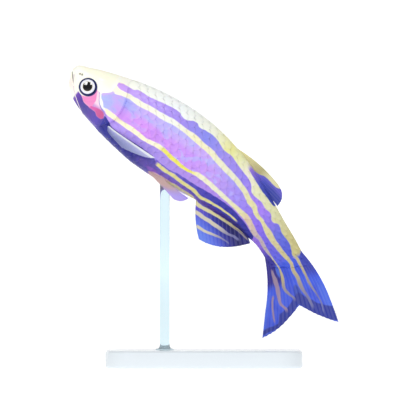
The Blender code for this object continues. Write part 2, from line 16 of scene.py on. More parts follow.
import bmesh
import bpy
import numpy as np
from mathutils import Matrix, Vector

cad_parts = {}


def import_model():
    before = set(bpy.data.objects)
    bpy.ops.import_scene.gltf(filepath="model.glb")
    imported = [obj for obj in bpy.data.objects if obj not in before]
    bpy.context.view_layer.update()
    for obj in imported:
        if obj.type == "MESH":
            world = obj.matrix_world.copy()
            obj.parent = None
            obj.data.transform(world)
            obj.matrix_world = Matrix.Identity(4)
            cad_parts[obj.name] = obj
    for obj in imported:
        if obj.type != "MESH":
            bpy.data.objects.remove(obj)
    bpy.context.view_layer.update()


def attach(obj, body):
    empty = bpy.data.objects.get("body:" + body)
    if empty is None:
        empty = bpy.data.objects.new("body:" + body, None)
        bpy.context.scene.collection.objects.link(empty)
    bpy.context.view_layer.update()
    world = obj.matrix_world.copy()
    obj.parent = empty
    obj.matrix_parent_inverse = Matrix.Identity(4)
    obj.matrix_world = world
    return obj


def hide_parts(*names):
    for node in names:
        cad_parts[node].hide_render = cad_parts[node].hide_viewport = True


LOG = logging.getLogger("zebra_danio")

MM = 0.001
BODY = "root"
STRAIGHT_MAP = "Straight"
LOCAL_MAP = "Local"
BAKE_MAP = "OFBake"
CHART_S = (-1.0, 51.0)
CHART_N = (-9.0, 9.0)

Array = np.ndarray
Pair = tuple[float, float]
Triple = tuple[float, float, float]
Colour = Triple
Points = Sequence[Pair]
Row = tuple[float, float, float, float]
Stops = Sequence[Row]
Patch = tuple[Pair, Pair, Colour]
Curve = tuple[Triple, Triple, Triple]
Faces = list[tuple[int, ...]]
Surface = Callable[[Array, Array], Array]
Material = bpy.types.Material
Socket = bpy.types.NodeSocket
Thing = bpy.types.Object

WHITE = (1.0, 1.0, 1.0, 1.0)


class Side(Enum):
    """The two sides of the fish, with the sign of y on each."""

    LEFT = -1
    RIGHT = 1

    @property
    def word(self) -> str:
        """Word for the side in the names of pieces."""
        return self.name.lower()


def smooth(low: float, high: float, x: Array | float) -> Array:
    """Rise from 0 at low to 1 at high, level at both ends."""
    t = np.clip((np.asarray(x, float) - low) / (high - low), 0.0, 1.0)
    return t * t * (3.0 - 2.0 * t)


def fall(low: float, high: float, x: Array | float) -> Array:
    """Fall from 1 at low to 0 at high, level at both ends."""
    return 1.0 - smooth(low, high, x)


def bell(x: Array, width: float) -> Array:
    """Bell curve that is 1 at zero and fades over the width."""
    return np.exp(-np.square(np.asarray(x, float) / width))


def lerp(a: Array, b: Array, t: Array) -> Array:
    """Points between a and b."""
    t = np.asarray(t, float)[..., None]
    return np.asarray(a, float) * (1.0 - t) + np.asarray(b, float) * t


def arc(a: Array, lean: Array, b: Array, t: Array) -> Array:
    """Points on the quadratic curve from a to b that leans to a third point."""
    return lerp(lerp(a, lean, t), lerp(lean, b, t), t)


def bowed(root: Array, tip: Array, lift: Array, v: Array) -> Array:
    """Points on rays from root to tip that bow by lift half way along."""
    rise = 4.0 * v * (1.0 - v)
    return lerp(root, tip, v) + np.asarray(lift, float) * rise[..., None]


def stack(s: Array, n: Array, y: Array) -> Array:
    """Join three coordinates into one array of points."""
    s, n, y = np.broadcast_arrays(np.asarray(s, float), np.asarray(n, float), np.asarray(y, float))
    return np.stack((s, n, y), axis=-1)


class Profile:
    """One size of the body along s, rounded off at the nose like a ball."""

    def __init__(self, nose: float, stations: Sequence[tuple[float, ...]], column: int) -> None:
        """Fit a curve without overshoot through one column of the stations.

        Args:
            nose: The s of the nose tip.
            stations: Rows of s and the sizes there.
            column: Which size to follow.
        """
        self.nose = nose
        self.x = np.sqrt([row[0] - nose for row in stations])
        self.y = np.array([row[column] for row in stations])
        step = np.diff(self.x)
        rate = np.diff(self.y) / step
        self.slope = np.empty(len(self.x))
        self.slope[0] = rate[0]
        self.slope[-1] = rate[-1]
        for i in range(1, len(self.x) - 1):
            before, after = rate[i - 1], rate[i]
            near = 2.0 * step[i] + step[i - 1]
            far = step[i] + 2.0 * step[i - 1]
            flat = before * after <= 0.0
            self.slope[i] = 0.0 if flat else (near + far) / (near / before + far / after)

    def __call__(self, s: Array) -> Array:
        """Size of the body at each s.

        Args:
            s: Distances along the body.

        Returns:
            The sizes.
        """
        q = np.sqrt(np.maximum(np.asarray(s, float) - self.nose, 0.0))
        q = np.minimum(q, self.x[-1])
        i = np.clip(np.searchsorted(self.x, q, side="right") - 1, 0, len(self.x) - 2)
        h = self.x[i + 1] - self.x[i]
        t = (q - self.x[i]) / h
        return (
            (2 * t**3 - 3 * t**2 + 1) * self.y[i]
            + (t**3 - 2 * t**2 + t) * h * self.slope[i]
            + (3 * t**2 - 2 * t**3) * self.y[i + 1]
            + (t**3 - t**2) * h * self.slope[i + 1]
        )


@dataclass
class BodyForm:
    """Smooth form of head, trunk and tail, and the bend that they follow.

    A station gives its s, the height of the back, the depth of the belly and the half width.
    """

    midline: Points = ((-18.07, 40.37), (-10.95, 33.67), (9.85, 26.25), (13.06, 8.73))
    nose_s: float = -0.41
    nose_n: float = 0.62
    stations: tuple[Row, ...] = (
        (-0.41, 0.62, -0.62, 0.0), (-0.30, 1.28, -0.11, 0.46), (0.00, 1.62, 0.55, 0.82),
        (1.00, 2.10, 1.85, 1.16), (2.75, 2.89, 2.86, 1.58), (5.50, 3.78, 3.78, 2.08),
        (8.25, 4.45, 4.44, 2.36), (11.0, 4.94, 5.00, 2.53), (13.75, 5.25, 5.38, 2.60),
        (16.5, 5.36, 5.43, 2.58), (19.25, 5.28, 5.21, 2.46), (22.0, 4.99, 4.79, 2.24),
        (24.75, 4.51, 4.29, 1.95), (27.5, 3.92, 4.00, 1.66), (30.25, 3.30, 3.57, 1.40),
        (33.0, 2.79, 2.91, 1.16), (35.75, 2.50, 2.35, 0.94), (38.5, 2.50, 2.24, 0.66),
        (40.5, 2.66, 2.30, 0.44),
    )
    round_back: float = 2.25
    round_belly: float = 2.05
    tail_end: float = 38.7
    tail_slope: float = 0.83
    tail_round: float = 0.1
    tail_blend_from: float = 33.5
    wedge_from: float = 37.3
    wedge_length: float = 3.2
    wedge_edge: float = 0.16
    nose_blend: Pair = (0.3, 3.0)
    steps: int = 600

    def __post_init__(self) -> None:
        """Measure the midline and fit the profiles."""
        self.back = Profile(self.nose_s, self.stations, 1)
        self.belly = Profile(self.nose_s, self.stations, 2)
        self.side = Profile(self.nose_s, self.stations, 3)
        self.params = np.linspace(0.0, 1.0, self.steps + 1)
        points, _ = self.bend(self.params)
        lengths = np.linalg.norm(np.diff(points, axis=0), axis=1)
        self.lengths = np.concatenate(([0.0], np.cumsum(lengths)))

    def bend(self, t: Array) -> tuple[Array, Array]:
        """Points and directions of the midline in X and Z.

        Args:
            t: Parameters of the curve, 0 to 1.

        Returns:
            The points, and the unit directions towards the tail.
        """
        a, b, c, d = (np.array(p) for p in self.midline)
        t = np.asarray(t, float)[..., None]
        u = 1.0 - t
        points = u**3 * a + 3 * u * u * t * b + 3 * u * t * t * c + t**3 * d
        along = 3 * u * u * (b - a) + 6 * u * t * (c - b) + 3 * t * t * (d - c)
        return points, along / np.linalg.norm(along, axis=-1, keepdims=True)

    def world(self, places: Array) -> Array:
        """Bring places in s, n and y to X, Y and Z in millimetres.

        Args:
            places: Array whose last axis holds s, n and y.

        Returns:
            Array of the same shape with X, Y and Z.
        """
        places = np.asarray(places, float)
        s, n, y = places[..., 0], places[..., 1], places[..., 2]
        inside = np.clip(s, 0.0, self.lengths[-1])
        points, along = self.bend(np.interp(inside, self.lengths, self.params))
        points = points + along * (s - inside)[..., None]
        x = points[..., 0] - along[..., 1] * n
        z = points[..., 1] + along[..., 0] * n
        return np.stack((x, y, z), axis=-1)

    def heights(self, s: Array) -> tuple[Array, Array, Array]:
        """Heights n of the belly, of the middle that shares count from, and of the back."""
        belly, back = -self.belly(s), self.back(s)
        return belly, 0.5 * (back + belly) * fall(*self.nose_blend, s), back

    def depth(self, s: Array, share: Array) -> Array:
        """Height n at a share of the way from the middle to back or belly."""
        belly, middle, back = self.heights(s)
        return middle + (np.where(share >= 0.0, back, belly) - middle) * np.abs(share)

    def share(self, s: Array, n: Array) -> Array:
        """Share of the way from the middle to back or belly at height n."""
        belly, middle, back = self.heights(s)
        above = n >= middle
        share = np.abs((n - middle) / (np.where(above, back, belly) - middle))
        return np.where(above, share, -share)

    def side_at(self, s: Array, n: Array) -> Array:
        """Half width of the smooth body at s and height n."""
        share = self.share(s, n)
        p = np.where(share >= 0.0, self.round_back, self.round_belly)
        return self.side(s) * (1.0 - np.minimum(np.abs(share), 1.0) ** p) ** (1.0 / p)

    def tail_sweep(self, share: Array) -> Array:
        """How far the end of the tail lies behind or before its middle."""
        return self.tail_slope * share - self.tail_round * share * share

    def skin(self, u: Array, angle: Array) -> Array:
        """Places on the smooth skin.

        Args:
            u: Station along the body, which leans with the tail's end.
            angle: Angle round the body, 0 at the right side, up over the back.

        Returns:
            Places in s, n and y.
        """
        across, height = np.cos(angle), np.sin(angle)
        p = np.where(height >= 0.0, self.round_back, self.round_belly)
        share = np.sign(height) * np.abs(height) ** (2.0 / p)
        width = np.sign(across) * np.abs(across) ** (2.0 / p)
        s = u + smooth(self.tail_blend_from, self.tail_end, u) * self.tail_sweep(share)
        past = np.maximum(u - self.wedge_from, 0.0) / self.wedge_length
        slim = np.sqrt(np.clip(1.0 - past * past, self.wedge_edge**2, 1.0))
        return stack(s, self.depth(s, share), width * self.side(s) * slim)

    def skin_place(self, s: Array, n: Array, side: Side, off: Array) -> Array:
        """Places at a distance off the skin, straight out from it.

        Args:
            s: Distances along the body.
            n: Heights.
            side: Side of the fish.
            off: Distance outwards; negative lies inside the body.

        Returns:
            Places in s, n and y.
        """
        step = 0.05
        y = self.side_at(s, n)
        up = (self.side_at(s, n + step) - self.side_at(s, n - step)) / (2.0 * step)
        long = np.hypot(1.0, up)
        return stack(s, n - off * up / long, side.value * (y + off / long))


def normals_of(first: Array, second: Array) -> Array:
    """Unit normals from the differences along two directions of a surface."""
    across = np.cross(first, second)
    length = np.linalg.norm(across, axis=-1, keepdims=True)
    return across / np.maximum(length, 1e-9)


def grid_faces(rows: int, cols: int, closed: bool = False) -> Faces:
    """Faces of a grid of points.

    Args:
        rows: Number of rows.
        cols: Number of points in a row.
        closed: Whether each row closes on itself.

    Returns:
        Quads as tuples of indices.
    """
    faces = []
    for i in range(rows - 1):
        for j in range(cols if closed else cols - 1):
            k = (j + 1) % cols
            a, b = i * cols, (i + 1) * cols
            faces.append((a + j, a + k, b + k, b + j))
    return faces


def placed(name: str, data: bpy.types.ID) -> Thing:
    """New object in the scene that holds a mesh, a light or a camera."""
    thing = bpy.data.objects.new(name, data)
    bpy.context.scene.collection.objects.link(thing)
    return thing


@dataclass
class Shape:
    """Points and faces of a piece, with maps laid over the points."""

    points: Array
    faces: Faces
    maps: dict[str, Array] = field(default_factory=dict)

    def piece(self, name: str, finish: Material) -> Thing:
        """Make a smooth mesh object, its faces turned outwards.

        Args:
            name: Name of the object.
            finish: Material of the whole piece.

        Returns:
            The new object, in metres.
        """
        mesh = bpy.data.meshes.new(name)
        mesh.from_pydata((np.asarray(self.points) * MM).tolist(), [], self.faces)
        corners = np.empty(len(mesh.loops), dtype=np.int64)
        mesh.loops.foreach_get("vertex_index", corners)
        for label, values in self.maps.items():
            layer = mesh.uv_layers.new(name=label)
            layer.data.foreach_set("uv", np.asarray(values, float)[corners].ravel())
        shell = bmesh.new()
        shell.from_mesh(mesh)
        if shell.calc_volume(signed=True) < 0.0:
            mesh.flip_normals()
        shell.free()
        mesh.shade_smooth()
        mesh.materials.append(finish)
        mesh.update()
        return placed(name, mesh)


def chart(places: Array) -> Array:
    """Position of each place on the straightened fish, 0 to 1 both ways."""
    s = (places[..., 0] - CHART_S[0]) / (CHART_S[1] - CHART_S[0])
    n = (places[..., 1] - CHART_N[0]) / (CHART_N[1] - CHART_N[0])
    return np.stack((s.ravel(), n.ravel()), axis=-1)


def closed_faces(rings: int, sides: int) -> Faces:
    """Faces of rings of points that close at two poles, which come after the rings.

    Args:
        rings: Number of rings.
        sides: Number of points in a ring.

    Returns:
        Quads between the rings and triangles at the poles.
    """
    faces = grid_faces(rings, sides, closed=True)
    last, pole = (rings - 1) * sides, rings * sides
    for k in range(sides):
        after = (k + 1) % sides
        faces.append((pole, after, k))
        faces.append((last + k, last + after, pole + 1))
    return faces


def slab_faces(rows: int, cols: int) -> Faces:
    """Faces of a thin closed body of two grids, with a wall round their rim.

    Args:
        rows: Number of rows of each grid.
        cols: Number of points in a row.

    Returns:
        Faces of the upper grid, of the lower one and of the wall.
    """
    total = rows * cols
    grid = np.arange(total).reshape(rows, cols)
    rim = np.concatenate((grid[0], grid[1:, -1], grid[-1, -2::-1], grid[-2:0:-1, 0])).tolist()
    faces = grid_faces(rows, cols)
    faces += [tuple(total + k for k in reversed(face)) for face in faces]
    return faces + [(b, a, total + a, total + b) for a, b in zip(rim, rim[1:] + rim[:1])]


def spokes(first: Array, second: Array, sides: int) -> Array:
    """Directions all round, from the first of two directions towards the second."""
    turn = 2.0 * np.pi * np.arange(sides) / sides
    return np.outer(np.cos(turn), first) + np.outer(np.sin(turn), second)


def tube(path: Array, radii: Array, sides: int, places: Array) -> Shape:
    """Round bar with closed ends along a path.

    Args:
        path: Points in X, Y and Z.
        radii: Radius at each point.
        sides: Number of sides.
        places: The points as s, n and y, which the straight map takes.

    Returns:
        The closed shape.
    """
    ahead = np.gradient(path, axis=0)
    ahead /= np.linalg.norm(ahead, axis=1, keepdims=True)
    side = np.array((0.0, 1.0, 0.0))
    rings = []
    for point, way, radius in zip(path, ahead, radii):
        side = side - way * side.dot(way)
        side = side / np.linalg.norm(side)
        rings.append(point + radius * spokes(side, np.cross(way, side), sides))
    points = np.concatenate(rings + [path[:1], path[-1:]])
    straight = chart(places)
    straight = np.concatenate((np.repeat(straight, sides, axis=0), straight[:1], straight[-1:]))
    return Shape(points, closed_faces(len(path), sides), {STRAIGHT_MAP: straight})


def turned(profile: Array, middle: Array, axis: Array, sides: int) -> Shape:
    """Body turned about an axis.

    Args:
        profile: Rows of radius and height, from pole to pole.
        middle: Point on the axis at height zero.
        axis: Direction of the axis, of length 1.
        sides: Number of sides.

    Returns:
        The closed shape, with a local map that has the axis in its middle.
    """
    side = np.cross(axis, (0.0, 0.0, 1.0) if abs(axis[2]) < 0.9 else (0.0, 1.0, 0.0))
    side /= np.linalg.norm(side)
    round_axis = spokes(side, np.cross(axis, side), sides)
    rings = [middle + axis * height + round_axis * radius for radius, height in profile[1:-1]]
    poles = middle + np.outer(profile[[0, -1], 1], axis)
    flat = [radius * spokes((1.0, 0.0), (0.0, 1.0), sides) for radius in profile[1:-1, 0]]
    local = np.concatenate(flat + [np.zeros((2, 2))])
    return Shape(np.concatenate(rings + [poles]), closed_faces(len(rings), sides), {LOCAL_MAP: local})


@dataclass
class EyeSeat:
    """Where an eye sits in the head, and how the skin is shaped round it."""

    s: float = 2.84
    n: float = -0.05
    y: float = 0.98
    axis: Triple = (-0.17, 0.04, 1.0)
    radius: float = 1.14
    edge: float = 0.44
    dome: float = 0.36
    back: float = 0.62
    rim: float = 1.3
    rim_rise: float = 0.05
    rim_width: float = 0.14
    lap: float = 0.02
    pit: float = 0.34
    fade: float = 1.62

    def frame(self, side: Side) -> tuple[Array, Array]:
        """Middle of the eyeball and its outward axis, in s, n and y."""
        ds, dn, dy = self.axis
        axis = np.array((ds, dn, side.value * dy))
        return np.array((self.s, self.n, side.value * self.y)), axis / np.linalg.norm(axis)

    def seat(self, places: Array, side: Side) -> Array:
        """Shape the skin into a socket with a soft rim.

        Args:
            places: Places of the skin in s, n and y.
            side: Side of the fish.

        Returns:
            The places with the socket pressed in.
        """
        middle, axis = self.frame(side)
        off = places - middle
        height = off @ axis
        flat = off - height[..., None] * axis
        away = np.linalg.norm(flat, axis=-1)
        near = (away < self.fade) & (height > 0.0)
        rest = height + self.rim_rise * bell(away - self.rim, self.rim_width)
        to_edge = smooth(self.rim, self.radius + 0.03, away)
        target = rest + (self.edge - self.lap - rest) * to_edge
        inside = smooth(self.radius + self.lap, self.radius - 0.1, away)
        target = target + (self.edge - self.pit - target) * inside
        height_new = np.where(near, target, height)
        return places + (height_new - height)[..., None] * axis


@dataclass
class HeadRelief:
    """Mouth, nostrils, gill cover and the bones that show through the skin."""

    mouth_tip: Pair = (-0.34, 0.30)
    mouth_corner: Pair = (0.92, -0.85)
    slit_depth: float = 0.3
    slit_width: float = 0.055
    lip_rise: float = 0.085
    lip_offset: float = 0.16
    lip_width: float = 0.1
    jaw_groove: float = 0.05
    chin_groove: float = 0.045
    nostrils: tuple[Row, ...] = (
        (0.80, 0.68, 0.10, 0.14), (1.10, 0.80, 0.12, 0.13),
    )
    nostril_rim: float = 0.04
    gill: float = 8.35
    gill_bulge: float = -0.15
    sweep_back: float = 1.3
    sweep_belly: float = 3.0
    flare: float = 0.24
    flare_from: float = 5.4
    cover_edge: float = 0.16
    cover_drop: float = 0.07
    cheek: Points = ((4.43, 0.13), (5.86, -1.35), (8.14, -3.25))
    cheek_step: float = 0.15
    cheek_groove: float = 0.05
    orbit: float = 1.95
    orbit_groove: float = 0.035
    seam_depth: float = 0.022
    cover_groove: float = 0.05
    gill_ray_depth: float = 0.04
    nape: float = 5.95
    nape_groove: float = 0.035
    crown_rise: float = 0.05

    def gill_edge(self, share: Array) -> Array:
        """The s of the gill cover's rear edge at a share of the height."""
        off = np.asarray(share, float) - self.gill_bulge
        return self.gill - np.where(off >= 0.0, self.sweep_back, self.sweep_belly) * off * off

    def nape_edge(self, share: Array) -> Array:
        """The s of the head's end over the back at a share of the height."""
        return self.nape + 0.5 * (1.0 - share)

    def cheek_side(self, s: Array, n: Array) -> Array:
        """Distance behind the line between cheek and gill cover, negative before it.

        Args:
            s: Distances along the body.
            n: Heights.

        Returns:
            The distances.
        """
        line = arc(*(np.array(p) for p in self.cheek), np.linspace(0.0, 1.0, 50))
        ds, dn = s[..., None] - line[:, 0], n[..., None] - line[:, 1]
        off = np.hypot(ds, dn)
        nearest = off.argmin(axis=-1)[..., None]
        sign = np.take_along_axis(ds + dn, nearest, axis=-1)[..., 0]
        return np.copysign(off.min(axis=-1), sign)

    def mouth(self, s: Array, n: Array) -> Array:
        """Height of the lips and depth of the line between them.

        Args:
            s: Distances along the body.
            n: Heights.

        Returns:
            The relief in millimetres.
        """
        run = np.subtract(self.mouth_corner, self.mouth_tip)
        length = float(np.linalg.norm(run))
        ds, dn = s - self.mouth_tip[0], n - self.mouth_tip[1]
        along = (ds * run[0] + dn * run[1]) / length**2
        off = (dn * run[0] - ds * run[1]) / length
        slit = -self.slit_depth * bell(off, self.slit_width) * fall(0.92, 1.1, along)
        lips = bell(off - self.lip_offset, self.lip_width) + bell(off + self.lip_offset, self.lip_width)
        lips = self.lip_rise * lips * fall(0.7, 1.12, along)
        jaw = self.jaw_groove * bell(off - 0.36, 0.07) * smooth(0.15, 0.5, along) * fall(0.95, 1.25, along)
        chin = self.chin_groove * bell(off + 0.42, 0.08) * smooth(0.3, 0.6, along) * fall(1.1, 1.5, along)
        return slit + lips - jaw - chin

    def nose(self, s: Array, n: Array) -> Array:
        """Depth of the nostrils with their low rims.

        Args:
            s: Distances along the body.
            n: Heights.

        Returns:
            The relief in millimetres.
        """
        rise = 0.0 * s
        for at_s, at_n, radius, depth in self.nostrils:
            away = np.hypot(s - at_s, n - at_n)
            rise = rise - depth * bell(away, radius) + self.nostril_rim * bell(away - 1.6 * radius, 0.05)
        return rise

    def gill_cover(self, s: Array, share: Array, side: Array) -> Array:
        """Flare of the gill cover up to its edge, and the step behind it.

        Args:
            s: Distances along the body.
            share: Heights as shares of the way to back or belly.
            side: Strength of the relief, less towards the back.

        Returns:
            The relief in millimetres.
        """
        edge = self.gill_edge(share)
        behind = s - edge
        flare = self.flare * smooth(self.flare_from, self.gill - 0.1, s + (self.gill - edge) * 0.8)
        step = smooth(0.0, self.cover_edge, behind)
        step = flare * (1.0 - step) - self.cover_drop * step
        cover = np.where(behind < 0.0, flare, step * fall(self.cover_edge, 1.3, behind))
        return cover * np.where(share < 0.0, fall(0.86, 1.0, np.abs(share)), side)

    def eye_bones(self, s: Array, n: Array, eye: EyeSeat) -> Array:
        """Edge of the bones below the eye, and the seams between them.

        Args:
            s: Distances along the body.
            n: Heights.
            eye: Seat of the eye.

        Returns:
            The relief in millimetres.
        """
        away = np.hypot(s - eye.s, n - eye.n)
        turn = np.arctan2(n - eye.n, s - eye.s)
        rim = self.orbit_groove * bell(away - self.orbit, 0.06) * smooth(0.9, 1.5, s)
        seams = self.seam_depth * smooth(0.93, 1.0, np.cos(turn * 9.0)) * smooth(1.35, 1.5, away)
        return -(rim + seams * fall(self.orbit - 0.1, self.orbit, away)) * smooth(0.25, -0.25, n - eye.n)

    def height(self, s: Array, n: Array, share: Array, eye: EyeSeat) -> Array:
        """How far the skin of the head stands out of the smooth body.

        Args:
            s: Distances along the body.
            n: Heights.
            share: Heights as shares of the way to back or belly.
            eye: Seat of the eye, which the bones round it follow.

        Returns:
            The relief in millimetres.
        """
        side = fall(0.6, 0.97, np.abs(share))
        behind = s - self.gill_edge(share)
        off = self.cheek_side(s, n)
        cheek = self.cheek_step * smooth(-0.12, 0.12, off) - self.cheek_groove * bell(off, 0.1)
        cheek = cheek * smooth(3.2, 4.6, s) * fall(-0.1, 0.1, behind)
        seam = self.cover_groove * bell(off - 1.45, 0.07) * smooth(5.6, 6.4, s) * fall(-0.2, 0.0, behind)
        rays = self.gill_ray_depth * smooth(0.55, 1.0, np.cos(13.0 * (share * 2.2 + 0.16 * s)))
        rays = rays * smooth(-0.62, -0.74, share) * smooth(-1.0, -0.93, share)
        rays = rays * smooth(2.2, 3.4, s) * fall(-0.3, 0.1, behind)
        nape = self.nape_groove * bell(s - self.nape_edge(share), 0.09) * smooth(0.45, 0.7, share)
        crown = self.crown_rise * bell(share - 0.62, 0.12) * smooth(0.9, 1.8, s) * fall(3.8, 5.2, s)
        rise = self.mouth(s, n) + self.nose(s, n) + self.gill_cover(s, share, side)
        return rise + self.eye_bones(s, n, eye) + (cheek - seam) * side - rays - nape + crown


@dataclass
class FishSkin:
    """One skin over head, trunk and tail."""

    form: BodyForm
    eye: EyeSeat = field(default_factory=EyeSeat)
    head: HeadRelief = field(default_factory=HeadRelief)
    sides: int = 264
    front_step: float = 0.03
    head_step: float = 0.06
    head_end: float = 9.2
    rear_step: float = 0.21
    end: float = 40.4

    def stations(self) -> Array:
        """Positions of the rings, closest on the snout and the head."""
        reach = np.arange(self.front_step, 1.0, self.front_step)
        front = self.form.nose_s + reach**2
        head = np.arange(front[-1] + self.head_step, self.head_end, self.head_step)
        count = int((self.end - head[-1]) / self.rear_step)
        rear = np.linspace(head[-1], self.end, count + 1)[1:]
        return np.concatenate((front, head, rear))

    def places(self) -> Array:
        """Places of all the rings, with the relief of the head."""
        angle = 2.0 * np.pi * (np.arange(self.sides) + 0.5) / self.sides
        u, turn = np.meshgrid(self.stations(), angle, indexing="ij")
        places = self.form.skin(u, turn)
        along = np.gradient(places, axis=0)
        over = np.roll(places, -1, axis=1) - np.roll(places, 1, axis=1)
        s, n = places[..., 0], places[..., 1]
        rise = self.head.height(s, n, self.form.share(s, n), self.eye)
        places = places + normals_of(along, over) * rise[..., None]
        for side in Side:
            mine = np.sign(places[..., 2:3]) == side.value
            places = np.where(mine, self.eye.seat(places, side), places)
        return places

    def build(self, finish: Material) -> Thing:
        """Make the skin and let it take the place of the solid flesh.

        Args:
            finish: Material of the skin.

        Returns:
            The skin.
        """
        places = self.places()
        rings, sides = places.shape[:2]
        nose = np.array([[self.form.nose_s, self.form.nose_n, 0.0]])
        tail = places[-1].mean(axis=0, keepdims=True)
        flat = np.concatenate((places.reshape(-1, 3), nose, tail))
        shape = Shape(self.form.world(flat), closed_faces(rings, sides), {STRAIGHT_MAP: chart(flat)})
        thing = shape.piece("fish_skin", finish)
        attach(thing, BODY)
        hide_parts("head", "trunk", "tail")
        return thing


@dataclass
class ScaleCoat:
    """Overlapping scales that lie over the skin behind the head."""

    form: BodyForm
    head: HeadRelief = field(default_factory=HeadRelief)
    rows: int = 24
    columns: int = 29
    first: float = 4.6
    last: float = 38.9
    overlap: float = 1.85
    height: float = 1.02
    shift: float = 0.03
    stretch: Pair = (0.97, 1.04)
    overhang: float = 1.6
    below_gill: float = 0.55
    chest_start: float = 5.2
    deepest: float = 15.0
    root_depth: float = 0.05
    tip_rise: float = 0.055
    thick: float = 0.035
    widest: float = 0.42
    roundness: float = 2.2
    root_bow: float = 0.06
    dome: float = 0.02
    cells: int = 7
    patch: float = 0.003
    map_length: float = 42.0
    seed: int = 7

    def angles(self) -> Array:
        """Angles of the rows, spaced evenly round the deepest section."""
        turn = np.linspace(0.0, 2.0 * np.pi, 2001)
        ring = self.form.skin(np.full_like(turn, self.deepest), turn)
        length = np.concatenate(([0.0], np.cumsum(np.linalg.norm(np.diff(ring, axis=0), axis=1))))
        even = (np.arange(self.rows) + 0.5) / self.rows * length[-1]
        return np.interp(even, length, turn)

    def plate(self, u: float, turn: float, reach: float, spread: float) -> tuple[Array, Array]:
        """Upper surface of one scale, and its own coordinates.

        Args:
            u: Station of the root.
            turn: Angle of the root round the body.
            reach: Length along the body.
            spread: Half of the angle that the scale covers.

        Returns:
            Places in s, n and y, and the shares along and across.
        """
        steps = np.linspace(0.0, 1.0, self.cells)
        a, b = np.meshgrid(steps, 2.0 * steps - 1.0, indexing="ij")
        hind = np.clip((a - self.widest) / (1.02 - self.widest), 0.0, 1.0)
        wide = np.sqrt(1.0 - hind**self.roundness) * (0.8 + 0.2 * smooth(0.0, 0.35, a))
        stations = u + reach * (a - self.root_bow * b * b * (1.0 - a))
        angles = turn + spread * wide * b
        places = self.form.skin(stations, angles)
        ahead = self.form.skin(stations + 0.05, angles) - places
        over = self.form.skin(stations, angles + 0.02) - places
        normal = normals_of(over, ahead)
        outward = np.sign(np.einsum("ijk,ijk->ij", normal, places - stack(places[..., 0], 0.0, 0.0)))
        off = -self.root_depth + (self.root_depth + self.tip_rise) * smooth(0.0, 0.8, a)
        off = off + self.dome * (1.0 - b * b) * smooth(0.1, 0.6, a)
        return places + normal * (outward * off)[..., None], np.stack((a, b), axis=-1)

    def build(self, finish: Material) -> list[Thing]:
        """Make the coat as one joined piece for each side.

        Args:
            finish: Material of the coat.

        Returns:
            The pieces of both sides.
        """
        draws = np.random.default_rng(self.seed)
        angles = self.angles()
        gaps = np.diff(np.concatenate((angles, [angles[0] + 2.0 * np.pi])))
        step = (self.last - self.first) / (self.columns - 1)
        made: dict[Side, list[tuple[Array, Array, Array]]] = {side: [] for side in Side}
        for row, turn in enumerate(angles):
            side = Side.RIGHT if math.cos(turn) > 0.0 else Side.LEFT
            for column in range(self.columns):
                u = self.first + step * (column + 0.5 * (row % 2) + draws.uniform(-self.shift, self.shift))
                root = self.form.skin(np.array([u]), np.array([turn]))[0]
                share = float(self.form.share(root[0:1], root[1:2])[0])
                if root[0] < self.first_scale(share) or u > self.last + 0.1:
                    continue
                reach = step * self.overlap * draws.uniform(*self.stretch)
                reach = min(reach, self.last + self.overhang - u)
                places, own = self.plate(u, turn, reach, gaps[row] * self.height)
                made[side].append((places, own, np.array((u, turn))))
        return [self.join(side, made[side], finish) for side in Side]

    def first_scale(self, share: float) -> float:
        """The s where scales begin, on the nape and behind the gill cover."""
        edge = float(self.head.gill_edge(np.array(share))) - self.below_gill
        return max(edge, self.head.nape_edge(share) if share > 0.3 else self.chest_start)

    def join(self, side: Side, plates: list[tuple[Array, Array, Array]], finish: Material) -> Thing:
        """Join the plates of a side, each a thin closed body.

        Args:
            side: Side of the fish.
            plates: Places, own coordinates and root of each plate.
            finish: Material of the coat.

        Returns:
            The joined piece.
        """
        total = 2 * self.cells * self.cells
        one = slab_faces(self.cells, self.cells)
        points, faces, straight, local, bake = [], [], [], [], []
        for places, own, (u, turn) in plates:
            start = len(points) * total
            faces += [tuple(start + k for k in face) for face in one]
            flat, (a, b) = places.reshape(-1, 3), own.reshape(-1, 2).T
            upper = self.form.world(flat)
            inward = self.form.world(flat * (1.0, 0.0, 0.0)) - upper
            inward /= np.linalg.norm(inward, axis=1, keepdims=True)
            points.append(np.concatenate((upper, upper + inward * self.thick)))
            straight.append(np.tile(chart(flat), (2, 1)))
            local.append(np.tile(np.stack((a, 0.5 + 0.5 * b), axis=1), (2, 1)))
            root = np.array(((u + 1.0) / self.map_length, turn / (2.0 * np.pi)))
            bake.append(np.tile(root + self.patch * np.stack((a - 0.5, 0.5 * b), axis=1), (2, 1)))
        parts = ((BAKE_MAP, bake), (STRAIGHT_MAP, straight), (LOCAL_MAP, local))
        maps = {label: np.concatenate(values) for label, values in parts}
        thing = Shape(np.concatenate(points), faces, maps).piece(f"scales_{side.word}", finish)
        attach(thing, BODY)
        return thing


